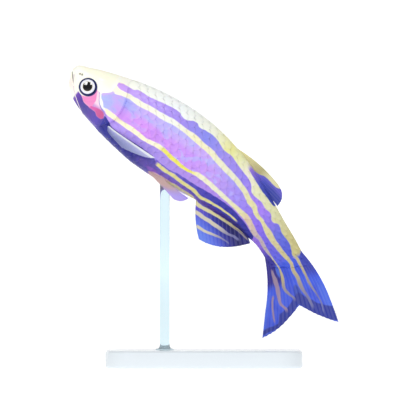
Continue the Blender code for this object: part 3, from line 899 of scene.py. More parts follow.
@dataclass
class Fin:
    """Fin of branched, jointed rays in one thin membrane."""

    name: str
    form: BodyForm
    place: Surface
    rays: int
    rows: int
    root_half: float = 0.24
    half: float = 0.075
    tip_half: float = 0.03
    ridge: float = 0.075
    joints: int = 26
    branch_from: float = 0.4
    fork: float = 0.15
    twig: float = 0.065
    ray_half: Pair = (0.125, 0.05)
    notch: float = 0.006
    wear: float = 0.003
    per_ray: int = 12
    seed: int = 3

    def ray_height(self, u: Array, v: Array) -> Array:
        """Height of the ray ridges, 0 to 1, split towards the tips.

        Args:
            u: Shares across the fin.
            v: Shares along the rays.

        Returns:
            The heights.
        """
        ray = np.round(u * (self.rays - 1))
        off = u * (self.rays - 1) - ray
        fork = self.fork * smooth(self.branch_from, self.branch_from + 0.35, v)
        twig = self.twig * smooth(self.branch_from + 0.32, 1.0, v)
        root, tip = self.ray_half
        wide = root - (root - tip) * smooth(self.branch_from, 1.0, v)
        ridge = np.zeros_like(off)
        for main in (-1.0, 1.0):
            for small in (-1.0, 1.0):
                ridge = np.maximum(ridge, bell(off - main * fork - small * twig, wide))
        joint = np.cos(2.0 * np.pi * (v * self.joints + 0.12 * ray))
        return ridge * (1.0 - 0.38 * smooth(0.86, 1.0, joint) * smooth(0.12, 0.2, v))

    def build(self, finish: Material, *nodes: str) -> Thing:
        """Make the fin and let it take the place of its solid.

        Args:
            finish: Material of the fin.
            nodes: Solids whose place it takes.

        Returns:
            The fin.
        """
        gaps = self.rays - 1
        wide = gaps * self.per_ray + 1
        v, u = np.meshgrid(np.linspace(0.0, 1.0, self.rows), np.linspace(0.0, 1.0, wide), indexing="ij")
        draws = np.random.default_rng(self.seed)
        worn = np.interp(u * gaps, np.arange(self.rays), draws.uniform(-self.wear, self.wear, self.rays))
        between = 0.5 - 0.5 * np.cos(2.0 * np.pi * u * gaps)
        places = self.place(u, v * (1.0 + (worn - self.notch * between) * v))
        middle = self.form.world(places)
        normal = normals_of(np.gradient(middle, axis=1), np.gradient(middle, axis=0))
        thin = self.half + (self.root_half - self.half) * fall(0.0, 0.22, v)
        thin = thin - (self.half - self.tip_half) * smooth(0.5, 1.0, v)
        thin = thin + self.ridge * self.ray_height(u, v) * (1.0 - 0.62 * v)
        rim = np.minimum(1.0, 0.35 + np.minimum(u, 1.0 - u) * gaps * 2.5)
        off = normal * (thin * rim)[..., None]
        points = np.concatenate(((middle + off).reshape(-1, 3), (middle - off).reshape(-1, 3)))
        own = np.stack((u.ravel() * gaps, v.ravel()), axis=1)
        maps = {STRAIGHT_MAP: np.tile(chart(places), (2, 1)), LOCAL_MAP: np.tile(own, (2, 1))}
        thing = Shape(points, slab_faces(self.rows, wide), maps).piece(self.name, finish)
        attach(thing, BODY)
        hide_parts(*nodes)
        return thing


@dataclass
class FinSet:
    """All fins of the fish, in the places that its body gives them."""

    form: BodyForm
    sink: float = 0.45
    dorsal_root: Pair = (22.7, 29.6)
    dorsal_tips: Curve = ((30.85, 5.02, 0.0), (32.6, 4.8, 0.0), (32.8, 3.05, 0.0))
    dorsal_bow: Pair = (0.0, 0.28)
    anal_root: Pair = (23.95, 32.85)
    anal_tips: Curve = ((28.85, -8.1, 0.0), (33.15, -7.3, 0.0), (34.7, -3.0, 0.0))
    anal_bow: Pair = (-0.25, -0.4)
    tail_share: float = 0.94
    tail_sink: float = 0.75
    tail_bow: float = 0.3
    upper_tips: Curve = ((45.85, 0.0, 0.0), (48.15, 2.65, 0.0), (49.1, 4.9, 0.0))
    lower_tips: Curve = ((45.85, 0.0, 0.0), (48.85, -3.05, 0.0), (49.4, -5.8, 0.0))
    paired_sink: float = 0.25
    clear: float = 0.3
    chest_root: Points = ((8.1, -2.85), (8.5, -3.6))
    chest_tips: Curve = ((15.95, -3.12, 3.75), (15.1, -4.0, 3.4), (11.2, -4.42, 2.7))
    chest_bend: Triple = (0.05, 0.19, 0.035)
    belly_root: Points = ((15.9, -5.1), (18.4, -4.75))
    belly_tips: Curve = ((21.4, -6.25, 1.5), (22.9, -6.2, 1.6), (23.3, -4.85, 1.7))
    belly_bend: Triple = (0.0, 0.3, 0.035)

    def single(self, profile: Profile, up: float, roots: Pair, tips: Curve, bow: Pair) -> Surface:
        """Places on a fin that stands on the back or hangs from the belly.

        Args:
            profile: Size of the body that its roots follow.
            up: 1 on the back, -1 on the belly.
            roots: The s of its first and last root.
            tips: Start, lean and end of the curve of the ray tips.
            bow: How far the first ray bows along s and n; the last one is straight.

        Returns:
            Function from the shares across and along the fin to places.
        """
        def place(u: Array, v: Array) -> Array:
            """Place at a share across and along the fin."""
            s = roots[0] + (roots[1] - roots[0]) * u
            lift = stack(bow[0] * (1.0 - u), bow[1] * (1.0 - u), 0.0)
            root = stack(s, up * (profile(s) - self.sink), 0.0)
            return bowed(root, arc(*tips, u), lift, v)

        return place

    def forked(self, u: Array, v: Array) -> Array:
        """Places on the forked tail fin.

        Args:
            u: Shares across the fin, from its upper edge down.
            v: Shares along the rays.

        Returns:
            The places.
        """
        spread = 1.0 - 2.0 * u
        share = self.tail_share * spread
        s = self.form.tail_end + self.form.tail_sweep(share) - self.tail_sink
        root = stack(s, self.form.depth(s, share), 0.0)
        upper, lower = (arc(*tips, np.abs(spread)) for tips in (self.upper_tips, self.lower_tips))
        tip = np.where((spread > 0.0)[..., None], upper, lower)
        return bowed(root, tip, stack(0.0, self.tail_bow * np.maximum(spread, 0.0), 0.0), v)

    def paired(self, side: Side, roots: Points, tips: Curve, bend: Triple) -> Surface:
        """Places on a fin that leaves the skin straight out and then turns back.

        Args:
            side: Side of the fish.
            roots: First and last root in s and n.
            tips: Start, lean and end of the curve of the ray tips.
            bend: Distance straight out, then shares of the run back and out.

        Returns:
            Function from the shares across and along the fin to places.
        """
        rise, back, out = bend
        rise = self.clear + rise

        def place(u: Array, v: Array) -> Array:
            """Place at a share across and along the fin."""
            first = lerp(roots[0], roots[1], u)
            s, n = first[..., 0], first[..., 1]
            tip = arc(*tips, u) * np.array((1.0, 1.0, side.value))
            run = tip[..., 0] - s
            a = self.form.skin_place(s, n, side, -self.paired_sink)
            b = self.form.skin_place(s, n, side, rise)
            c = self.form.skin_place(s + back * run, n, side, rise + out * run)
            return lerp(arc(a, b, c, v), arc(b, c, tip, v), v)

        return place

    def build(self, tail: Material, pale: Material, rosy: Material) -> list[Thing]:
        """Make every fin.

        Args:
            tail: Material of the fins on the fish's middle line.
            pale: Material of the chest fins.
            rosy: Material of the belly fins.

        Returns:
            The fins.
        """
        form = self.form
        dorsal = self.single(form.back, 1.0, self.dorsal_root, self.dorsal_tips, self.dorsal_bow)
        anal = self.single(form.belly, -1.0, self.anal_root, self.anal_tips, self.anal_bow)
        made = [
            Fin("dorsal_web", form, dorsal, 9, 90, 0.3).build(tail, "dorsal_fin"),
            Fin("anal_web", form, anal, 14, 80, 0.3, seed=4).build(tail, "anal_fin"),
            Fin("tail_web", form, self.forked, 19, 110, 0.3, joints=34, seed=5).build(tail, "caudal_fin"),
        ]
        for side in Side:
            place = self.paired(side, self.chest_root, self.chest_tips, self.chest_bend)
            fin = Fin(f"pectoral_web_{side.word}", form, place, 11, 90, seed=6)
            made.append(fin.build(pale, f"pectoral_fin_{side.word}"))
            place = self.paired(side, self.belly_root, self.belly_tips, self.belly_bend)
            fin = Fin(f"pelvic_web_{side.word}", form, place, 8, 70, joints=18, seed=8)
            made.append(fin.build(rosy, f"pelvic_fin_{side.word}"))
        return made


@dataclass
class Eyes:
    """Both eyeballs, domed and polished."""

    form: BodyForm
    seat: EyeSeat = field(default_factory=EyeSeat)
    sides: int = 96
    parts: int = 30
    rear_parts: int = 16

    def section(self) -> Array:
        """Half section of the eyeball, from its back pole to its front pole."""
        seat = self.seat
        depth = seat.back + seat.edge
        rear = [(seat.radius * math.cos(t), seat.edge - depth * math.sin(t))
                for t in np.linspace(0.5 * math.pi, 0.06, self.rear_parts)]
        ball = (seat.radius**2 + seat.dome**2) / (2.0 * seat.dome)
        lift = seat.edge + seat.dome - ball
        front = [(seat.radius * t, lift + math.sqrt(ball**2 - (seat.radius * t) ** 2))
                 for t in np.linspace(1.0, 0.0, self.parts)]
        return np.array(rear + front)

    def world_frame(self, side: Side) -> tuple[Array, Array]:
        """Middle of the eyeball and its outward axis, in X, Y and Z."""
        middle, axis = self.seat.frame(side)
        here = self.form.world(middle)
        ahead = self.form.world(middle + axis) - here
        return here, ahead / np.linalg.norm(ahead)

    def build(self, iris: Material) -> list[Thing]:
        """Make the eyeballs in place of their solids.

        Args:
            iris: Material of the eyeballs.

        Returns:
            The left and the right eyeball.
        """
        made = []
        for side in Side:
            middle, axis = self.world_frame(side)
            thing = turned(self.section(), middle, axis, self.sides).piece(f"eyeball_{side.word}", iris)
            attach(thing, BODY)
            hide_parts(f"eye_{side.word}")
            made.append(thing)
        return made


@dataclass
class Feelers:
    """Two pairs of feelers, at the snout and at the corners of the mouth."""

    form: BodyForm
    snout: Points = ((0.25, 0.05), (1.25, -0.75))
    mouth: Points = ((1.25, -1.25), (4.4, -2.85))
    root: float = 0.1
    tip: float = 0.03
    sink: float = 0.12
    clear: float = 0.3
    rise: float = 0.62
    sway: float = 0.1
    parts: int = 40
    sides: int = 16

    def build(self, finish: Material) -> list[Thing]:
        """Make the four feelers in place of their solids.

        Args:
            finish: Material of the feelers.

        Returns:
            The feelers.
        """
        made = []
        t = np.linspace(0.0, 1.0, self.parts)
        out = self.clear + self.rise
        for word, (start, end) in (("rostral", self.snout), ("maxillary", self.mouth)):
            for side in Side:
                first = self.form.skin_place(*np.array(start), side, -self.sink)
                lean = self.form.skin_place(*np.array(start), side, out)
                last = self.form.skin_place(*np.array(end), side, out)
                places = arc(first, lean, last, t)
                places[:, 1] += self.sway * np.sin(t * 5.0) * t
                radii = self.root + (self.tip - self.root) * t**0.8
                radii = radii * (1.0 + 0.6 * fall(0.0, 0.12, t))
                shape = tube(self.form.world(places), radii, self.sides, places)
                thing = shape.piece(f"feeler_{word}_{side.word}", finish)
                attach(thing, BODY)
                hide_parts(f"barbel_{word}_{side.word}")
                made.append(thing)
        return made


@dataclass
class Stand:
    """Pale frosted base plate with a clear rod that carries the fish."""

    form: BodyForm
    length: float = 27.0
    width: float = 16.0
    thick: float = 2.4
    corner: float = 3.5
    edge: float = 0.4
    rod_x: float = -5.4
    rod_radius: float = 0.68
    rod_sink: float = 0.9
    collar: float = 1.25
    collar_sink: float = 0.25
    collar_edge: float = 0.12
    collar_rise: float = 0.5

    def outline(self, inset: float, z: float, parts: int = 16) -> Array:
        """Points round the plate at a height.

        Args:
            inset: Distance from the plate's widest outline.
            z: Height.
            parts: Parts of each rounded corner.

        Returns:
            The points.
        """
        radius = self.corner - inset
        points = []
        for quarter in range(4):
            sx = 1.0 if quarter in (0, 3) else -1.0
            sy = 1.0 if quarter in (0, 1) else -1.0
            turn = 0.5 * np.pi * (quarter + np.arange(parts + 1) / parts)
            x = sx * (0.5 * self.length - self.corner) + radius * np.cos(turn)
            y = sy * (0.5 * self.width - self.corner) + radius * np.sin(turn)
            points.append(np.stack((x, y, np.full_like(x, z)), axis=1))
        return np.concatenate(points)

    def plate(self) -> Shape:
        """Plate with rounded corners and polished round edges."""
        turn = np.linspace(0.0, 0.5 * np.pi, 7)
        steps = [(self.edge * (1.0 - math.sin(t)), self.edge * (1.0 - math.cos(t))) for t in turn]
        levels = steps + [(inset, self.thick - rise) for inset, rise in reversed(steps)]
        rings = [self.outline(inset, z) for inset, z in levels]
        count = len(rings[0])
        points = np.concatenate(rings)
        faces = grid_faces(len(rings), count, closed=True)
        faces.append(tuple(range(count))[::-1])
        faces.append(tuple(len(points) - count + k for k in range(count)))
        return Shape(points, faces)

    def rod(self) -> Shape:
        """Rod with a small round collar at its foot, its top inside the belly."""
        s = np.linspace(5.0, 30.0, 500)
        under = self.form.world(stack(s, -self.form.belly(s), 0.0))
        order = np.argsort(under[:, 0])
        top = float(np.interp(self.rod_x, under[order, 0], under[order, 2])) + self.rod_sink
        foot = self.thick
        sunk = foot - self.collar_sink
        profile = [(0.0, sunk), (self.collar, sunk), (self.collar, foot + self.collar_edge)]
        for t in np.linspace(0.0, 0.5 * math.pi, 8):
            radius = self.rod_radius + (self.collar - self.rod_radius - 0.1) * (1.0 - math.sin(t))
            profile.append((radius, foot + 0.2 + self.collar_rise * (1.0 - math.cos(t))))
        profile += [(self.rod_radius, z) for z in np.linspace(foot + 1.2, top, 14)]
        profile.append((0.0, top))
        middle = np.array((self.rod_x, 0.0, 0.0))
        return turned(np.array(profile), middle, np.array((0.0, 0.0, 1.0)), 64)

    def build(self, frosted: Material, clear: Material) -> list[Thing]:
        """Make the plate and the rod in place of their solids.

        Args:
            frosted: Material of the plate.
            clear: Material of the rod.

        Returns:
            The plate and the rod.
        """
        made = []
        for word, node, shape, finish in (
            ("base_plate", "stand_base", self.plate(), frosted),
            ("rod", "stand_rod", self.rod(), clear),
        ):
            thing = shape.piece(word, finish)
            thing.data.set_sharp_from_angle(angle=math.radians(40.0))
            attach(thing, BODY)
            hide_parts(node)
            made.append(thing)
        return made


def paint(r: float, g: float, b: float) -> Row:
    """Colour of the light, from values as a screen shows them."""
    values = [c / 12.92 if c <= 0.04045 else ((c + 0.055) / 1.055) ** 2.4 for c in (r, g, b)]
    return (values[0], values[1], values[2], 1.0)


class Graph:
    """Short words for the nodes of one node tree."""

    def __init__(self, tree: bpy.types.NodeTree) -> None:
        """Keep the tree that the nodes go into."""
        self.tree = tree

    def node(self, kind: str, **values: object) -> bpy.types.Node:
        """Add a node and set its own properties.

        Args:
            kind: Type of the node.
            values: Properties of the node by their names.

        Returns:
            The new node.
        """
        made = self.tree.nodes.new(kind)
        for name, value in values.items():
            setattr(made, name, value)
        return made

    def feed(self, socket: Socket, value: object) -> None:
        """Link a socket to another node's output, or set its value.

        Args:
            socket: Input to feed.
            value: Output of a node, or a constant.
        """
        if isinstance(value, Socket):
            self.tree.links.new(value, socket)
        else:
            socket.default_value = value

    def fill(self, node: bpy.types.Node, values: dict[str, object]) -> None:
        """Feed several inputs of a node by their names."""
        for name, value in values.items():
            self.feed(node.inputs[name], value)

    def math(self, kind: str, a: object, b: object = 0.0, c: object = 0.0) -> Socket:
        """Result of one step of arithmetic.

        Args:
            kind: Operation of the node.
            a: First value.
            b: Second value, where the operation has one.
            c: Third value, where the operation has one.

        Returns:
            The result.
        """
        made = self.node("ShaderNodeMath", operation=kind)
        for socket, value in zip(made.inputs, (a, b, c)):
            self.feed(socket, value)
        return made.outputs[0]

    def times(self, a: object, b: object) -> Socket:
        """Product of two values."""
        return self.math("MULTIPLY", a, b)

    def less(self, a: object, b: object) -> Socket:
        """Difference of two values."""
        return self.math("SUBTRACT", a, b)

    def size(self, value: object) -> Socket:
        """A value without its sign."""
        return self.math("ABSOLUTE", value)

    def line(self, value: object, slope: object, offset: object) -> Socket:
        """A value times a slope plus an offset."""
        return self.math("MULTIPLY_ADD", value, slope, offset)

    def length(self, x: Socket, y: Socket) -> Socket:
        """Length of a run of x and y."""
        return self.math("SQRT", self.math("ADD", self.times(x, x), self.times(y, y)))

    def smooth(self, low: float, high: float, value: object) -> Socket:
        """Soft step from 0 at low to 1 at high, or down where low is above high.

        Args:
            low: Value where the mask is 0.
            high: Value where the mask is 1.
            value: Value to follow.

        Returns:
            The mask.
        """
        made = self.node("ShaderNodeMapRange", interpolation_type="SMOOTHSTEP")
        ends = (low, high, 0.0, 1.0) if low < high else (high, low, 1.0, 0.0)
        self.fill(made, dict(zip(("From Min", "From Max", "To Min", "To Max"), ends)))
        self.feed(made.inputs["Value"], value)
        return made.outputs["Result"]

    def window(self, value: object, start: float, full: float, last: float, end: float) -> Socket:
        """Mask that rises from start to full and falls from last to end."""
        return self.both(self.smooth(start, full, value), self.smooth(end, last, value))

    def both(self, *masks: object) -> Socket:
        """Product of masks."""
        result = masks[0]
        for mask in masks[1:]:
            result = self.times(result, mask)
        return result

    def inverse(self, mask: object) -> Socket:
        """One minus a mask."""
        return self.less(1.0, mask)

    def mix(self, share: object, a: object, b: object, kind: str = "MIX") -> Socket:
        """Mixture of two colours.

        Args:
            share: Share of the second colour.
            a: First colour.
            b: Second colour.
            kind: Way of mixing.

        Returns:
            The mixed colour.
        """
        made = self.node("ShaderNodeMix", data_type="RGBA", blend_type=kind)
        self.feed(made.inputs["Factor"], share)
        colours = [socket for socket in made.inputs if socket.type == "RGBA"]
        self.feed(colours[0], a)
        self.feed(colours[1], b)
        return [socket for socket in made.outputs if socket.type == "RGBA"][0]

    def ramp(self, value: object, stops: Stops) -> Socket:
        """Colour that changes along a value.

        Args:
            value: Value to follow.
            stops: Rows of a value and the screen colour there.

        Returns:
            The colour.
        """
        low, high = stops[0][0], stops[-1][0]
        made = self.node("ShaderNodeValToRGB")
        elements = made.color_ramp.elements
        while len(elements) > 1:
            elements.remove(elements[-1])
        for i, (at, *colour) in enumerate(stops):
            spot = (at - low) / (high - low)
            element = elements[0] if i == 0 else elements.new(spot)
            element.position = spot
            element.color = paint(*colour)
        self.feed(made.inputs["Fac"], self.math("DIVIDE", self.less(value, low), high - low))
        return made.outputs["Color"]

    def curve(self, value: object, points: Points) -> Socket:
        """Height n of a drawn line, followed along s.

        Args:
            value: The s to look up.
            points: Points of the line in s and n.

        Returns:
            The n of the line.
        """
        made = self.node("ShaderNodeFloatCurve")
        line = made.mapping.curves[0]
        spots = [((s - CHART_S[0]) / (CHART_S[1] - CHART_S[0]),
                  (n - CHART_N[0]) / (CHART_N[1] - CHART_N[0])) for s, n in points]
        line.points[0].location = (0.0, spots[0][1])
        line.points[1].location = (1.0, spots[-1][1])
        for spot in spots:
            line.points.new(*spot)
        made.mapping.update()
        at = self.math("DIVIDE", self.less(value, CHART_S[0]), CHART_S[1] - CHART_S[0])
        self.feed(made.inputs["Value"], at)
        return self.line(made.outputs[0], CHART_N[1] - CHART_N[0], CHART_N[0])

    def noise(self, place: object, scale: float, detail: float = 2.0) -> Socket:
        """Soft cloud of values from 0 to 1."""
        made = self.node("ShaderNodeTexNoise")
        self.fill(made, {"Vector": place, "Scale": scale, "Detail": detail})
        return made.outputs[0]

    def vector(self, x: object, y: object, z: object = 0.0) -> Socket:
        """Vector of three values."""
        made = self.node("ShaderNodeCombineXYZ")
        for socket, value in zip(made.inputs, (x, y, z)):
            self.feed(socket, value)
        return made.outputs[0]

    def split(self, source: Socket) -> tuple[Socket, Socket]:
        """First two values of a vector."""
        parts = self.node("ShaderNodeSeparateXYZ")
        self.feed(parts.inputs[0], source)
        return parts.outputs[0], parts.outputs[1]


class Coats:
    """Colour over which further colours are laid one by one."""

    def __init__(self, graph: Graph, colour: object) -> None:
        """Start with the lowest colour."""
        self.graph = graph
        self.colour = colour

    def lay(self, tint: object, *masks: object) -> None:
        """Lay a screen colour, or a socket's colour, where the product of the masks is strong."""
        top = tint if isinstance(tint, Socket) else paint(*tint)
        self.colour = self.graph.mix(self.graph.both(*masks), self.colour, top)


@dataclass
class Place:
    """A place on the straightened fish in a node tree, and the masks drawn over it.

    Its s and n are plain, and sw and nw are the same with softly wandering edges.
    """

    graph: Graph
    source: Socket
    wander: float = 0.2
    slide: float = 0.6
    edge: float = 0.07

    def __post_init__(self) -> None:
        """Look the place up and let a copy of it wander."""
        graph = self.graph
        x, y = graph.split(self.source)
        self.s = graph.line(x, CHART_S[1] - CHART_S[0], CHART_S[0])
        self.n = graph.line(y, CHART_N[1] - CHART_N[0], CHART_N[0])
        self.spot = graph.vector(self.s, graph.times(self.n, 1.6))
        across = graph.less(graph.noise(graph.vector(self.n, self.s, 3.0), 0.9), 0.5)
        self.sw = graph.line(across, self.slide, self.s)
        self.nw = graph.line(graph.less(graph.noise(self.spot, 1.1), 0.5), self.wander, self.n)

    def over(self, points: Points) -> Socket:
        """Height over a line."""
        return self.graph.less(self.nw, self.graph.curve(self.s, points))

    def above(self, points: Points) -> Socket:
        """Mask of everything above a line."""
        return self.graph.smooth(-self.edge, self.edge, self.over(points))

    def below(self, points: Points) -> Socket:
        """Mask of everything below a line."""
        return self.graph.inverse(self.above(points))

    def streak(self, points: Points, half: float, loss: float = 0.0) -> Socket:
        """Mask of a streak along a line.

        Args:
            points: Points of the line.
            half: Half width of the streak.
            loss: How much of the half width it loses to the rear.

        Returns:
            The mask.
        """
        graph = self.graph
        away = graph.size(self.over(points))
        start, end = points[0][0], points[-1][0]
        away = graph.line(graph.smooth(0.6 * start + 0.4 * end, end, self.s), loss, away)
        narrow = graph.smooth(half + self.edge, half - self.edge, away)
        return graph.both(narrow, graph.window(self.s, start - 0.2, start + 0.3, end - 0.3, end + 0.3))

    def patch(self, middle: Pair, size: Pair, lean: float = 0.0,
              soft: float = 0.35, wanders: bool = True) -> Socket:
        """Mask of an oval patch.

        Args:
            middle: Middle of the patch in s and n.
            size: Half length and half height.
            lean: Angle of the long axis above the midline, in degrees.
            soft: Share of the size over which the patch fades.
            wanders: Whether its edge wanders.

        Returns:
            The mask.
        """
        graph = self.graph
        s, n = (self.sw, self.nw) if wanders else (self.s, self.n)
        ds, dn = graph.less(s, middle[0]), graph.less(n, middle[1])
        run, rise = math.cos(math.radians(lean)), math.sin(math.radians(lean))
        along = graph.math("ADD", graph.times(ds, run), graph.times(dn, rise))
        over = graph.less(graph.times(dn, run), graph.times(ds, rise))
        away = graph.length(graph.math("DIVIDE", along, size[0]), graph.math("DIVIDE", over, size[1]))
        return graph.smooth(1.0 + soft, 1.0 - soft, away)


@dataclass(frozen=True)
class StripeLines:
    """Edges and middles of the stripes, and edges of the painted shade, in s and n on the straightened
    fish.
    """

    upper: Points = (
        (5.9, 2.9), (6.5, 3.12), (7.5, 3.12), (8.3, 3.18), (9.0, 3.48), (10.5, 3.5), (12.0, 3.66),
        (13.2, 3.84), (15.2, 3.96), (15.8, 3.7), (16.4, 3.6), (17.0, 3.8), (17.5, 4.1), (18.0, 4.1),
        (18.5, 3.8), (19.5, 3.95), (20.5, 4.0), (21.5, 3.85), (22.3, 3.5), (23.2, 3.3), (24.0, 3.4),
        (25.0, 3.15), (26.0, 2.9), (27.0, 2.75), (28.0, 2.55), (28.7, 2.15), (29.5, 1.52), (31.0, 1.68),
        (32.0, 1.55), (33.0, 1.68), (34.0, 1.2), (34.8, 1.66), (36.1, 1.4), (37.5, 1.58), (38.5, 1.4),
        (39.2, 1.2), (39.8, 1.58), (41.0, 1.72), (42.0, 1.85), (43.0, 1.98), (44.0, 2.3), (45.0, 2.7),
        (46.0, 3.03), (47.4, 3.15),
    )
    first_low: Points = (
        (5.9, 2.1), (7.0, 2.2), (8.0, 2.34), (9.5, 2.38), (12.0, 2.53), (14.0, 2.64), (15.5, 2.74),
        (17.0, 2.63), (18.5, 2.68), (20.0, 2.45), (21.5, 2.4), (23.0, 2.1), (24.5, 1.9), (26.0, 1.75),
        (27.5, 1.55), (28.5, 1.37), (29.3, 1.15), (30.0, 0.95), (31.0, 0.87), (31.6, 0.52), (32.2, 0.37),
        (33.0, 0.38), (34.0, 0.27), (35.0, 0.32), (36.0, 0.22), (37.0, 0.27), (38.0, 0.36), (39.0, 0.6),
        (40.0, 0.85),
    )
    second_high: Points = (
        (5.9, 1.4), (6.5, 1.35), (7.0, 1.43), (7.8, 1.65), (9.0, 1.71), (10.0, 1.62), (12.0, 1.8),
        (14.0, 1.81), (15.5, 1.98), (17.0, 2.0), (18.5, 1.85), (20.0, 1.7), (21.5, 1.6), (23.0, 1.3),
        (24.5, 1.1), (26.0, 1.0), (27.5, 0.85), (28.5, 0.65), (29.3, 0.4), (30.0, 0.15), (31.0, 0.1),
        (31.6, -0.15), (32.2, -0.25), (33.0, -0.17), (34.0, -0.36), (35.0, -0.56), (36.0, -0.6),
        (37.0, -0.43), (38.0, -0.25), (39.0, 0.0), (40.0, 0.35),
    )
    second_low: Points = (
        (6.2, -1.05), (8.0, -1.13), (9.0, -1.27), (10.0, -1.24), (11.5, -1.29), (12.5, -1.42),
        (13.5, -1.53), (14.5, -1.31), (16.0, -1.22), (17.0, -1.45), (18.5, -1.6), (20.0, -1.75),
        (21.2, -1.62), (22.0, -1.28), (24.0, -1.18), (26.0, -1.22), (28.0, -1.2), (30.0, -1.03),
        (31.5, -0.87), (33.0, -1.16), (34.0, -1.37), (35.0, -1.32), (36.0, -1.38), (37.0, -1.45),
        (38.0, -1.4), (39.0, -1.27), (40.0, -1.1),
    )
    third_high: Points = (
        (6.4, -1.4), (7.2, -1.77), (8.5, -1.8), (10.0, -1.9), (11.0, -1.9), (12.5, -2.0), (14.0, -2.0),
        (15.5, -1.83), (16.5, -1.87), (17.5, -2.05), (19.0, -2.2), (20.5, -2.15), (21.5, -1.95),
        (22.5, -1.85), (26.0, -1.85), (30.0, -1.7), (31.5, -1.72), (33.0, -1.9), (34.0, -2.06),
        (35.0, -1.78), (36.0, -1.86), (37.0, -1.8), (38.0, -1.6), (39.0, -1.42), (40.0, -1.27),
    )
    yellow: Points = (
        (16.5, -3.65), (18.0, -3.78), (19.5, -3.68), (20.5, -3.72), (21.5, -3.68), (23.3, -3.6),
        (24.0, -3.7), (24.7, -3.72), (25.3, -3.54), (26.0, -3.38), (27.0, -3.16), (28.0, -2.98),
        (29.0, -2.8), (30.0, -2.68), (30.8, -2.62),
    )
    gold: Points = (
        (19.3, -4.95), (20.3, -4.7), (21.5, -4.6), (22.5, -4.5), (23.3, -4.45), (24.3, -4.65),
        (25.0, -4.72), (26.0, -4.57), (27.0, -4.32), (28.0, -4.08), (29.0, -3.88), (30.0, -3.68),
        (32.0, -3.3), (34.0, -3.03),
    )
    anal_upper: Points = (
        (25.2, -5.7), (26.0, -5.6), (27.0, -5.5), (28.0, -5.3), (29.0, -5.15), (30.0, -4.97),
        (31.0, -4.78), (33.2, -4.05),
    )
    anal_lower: Points = ((26.9, -7.0), (28.5, -6.75), (29.5, -6.4), (30.0, -6.2), (32.7, -5.4))
    tail_middle: Points = (
        (39.0, 0.3), (40.0, 0.58), (41.0, 0.52), (42.0, 0.7), (43.0, 0.78), (44.0, 0.98), (45.0, 1.4),
        (46.5, 1.8),
    )
    tail_low: Points = (
        (39.0, -1.3), (40.0, -1.18), (41.0, -1.2), (42.0, -1.33), (43.0, -1.47), (44.0, -1.05),
        (45.0, -0.45),
    )
    tail_third: Points = (
        (39.9, -2.25), (40.5, -2.3), (41.5, -2.32), (43.0, -2.38), (45.0, -2.5), (46.3, -1.85),
    )
    tail_corner: Points = ((38.9, 2.9), (39.3, 2.4), (39.6, 2.1), (40.0, 1.9), (41.0, 1.9))
    tail_lowest: Points = ((43.8, -3.3), (44.5, -3.5), (46.0, -3.7), (47.5, -3.75))
    # Upper edge of the painted shade along the lower flank.
    flank_shade_edge: Points = (
        (15.6, -3.1), (16.5, -3.24), (18.0, -3.34), (19.2, -3.28), (19.7, -3.1), (20.0, -3.07),
        (22.0, -2.95), (24.0, -2.65), (26.0, -2.3), (28.0, -2.0), (30.0, -1.87), (33.0, -1.98),
        (34.2, -2.15), (34.6, -2.6),
    )
    # Upper edge of the painted shade that darkens the belly as if in shadow.
    belly: Points = (
        (6.7, -1.95), (7.0, -2.0), (7.6, -2.25), (8.6, -2.78), (10.0, -2.98), (13.0, -2.97), (14.5, -3.0),
        (15.5, -3.1), (16.1, -3.4), (17.0, -4.02), (19.0, -4.08), (22.0, -4.0), (24.0, -3.98),
        (26.0, -3.7), (28.0, -3.4), (30.0, -3.0), (31.5, -2.7), (34.0, -2.6),
    )
    keel: Points = (
        (16.0, -5.1), (17.0, -4.8), (18.5, -4.65), (20.5, -4.55), (22.5, -4.5), (23.6, -4.6),
        (24.4, -6.0),
    )
    dorsal_blue: Points = (
        (26.3, 3.72), (27.5, 3.9), (28.3, 4.1), (29.0, 4.43), (30.0, 4.48), (30.9, 4.55), (31.3, 4.85),
        (33.0, 5.5),
    )
    # Upper edge of the painted shade under the throat.
    throat_shade: Points = (
        (1.9, -1.2), (2.3, -1.35), (2.8, -1.5), (3.3, -1.85), (3.8, -2.1), (4.4, -2.2), (5.3, -2.22),
        (5.6, -2.3), (5.9, -2.6), (6.6, -2.68), (6.9, -2.45), (7.1, -2.15),
    )
    coral: Points = (
        (4.4, -2.2), (4.6, -1.95), (5.0, -1.8), (5.4, -1.7), (6.3, -1.68), (6.7, -1.9), (6.95, -2.4),
    )
    cheek_white: Points = ((4.65, 0.25), (5.3, -0.62), (5.85, -1.12), (6.5, -1.3))
    # Line of painted shade along the groove behind the cheek's white edge; the blush lies below it.
    cheek_shade_line: Points = ((4.45, 0.3), (5.0, -0.5), (5.5, -1.1), (5.95, -1.42), (6.6, -1.68), (7.2, -1.95))
    dorsal_foot: Points = (
        (26.3, 3.7), (27.0, 3.52), (28.0, 3.2), (29.0, 2.96), (30.0, 2.76), (31.0, 2.68), (32.4, 2.62),
        (33.0, 3.2),
    )


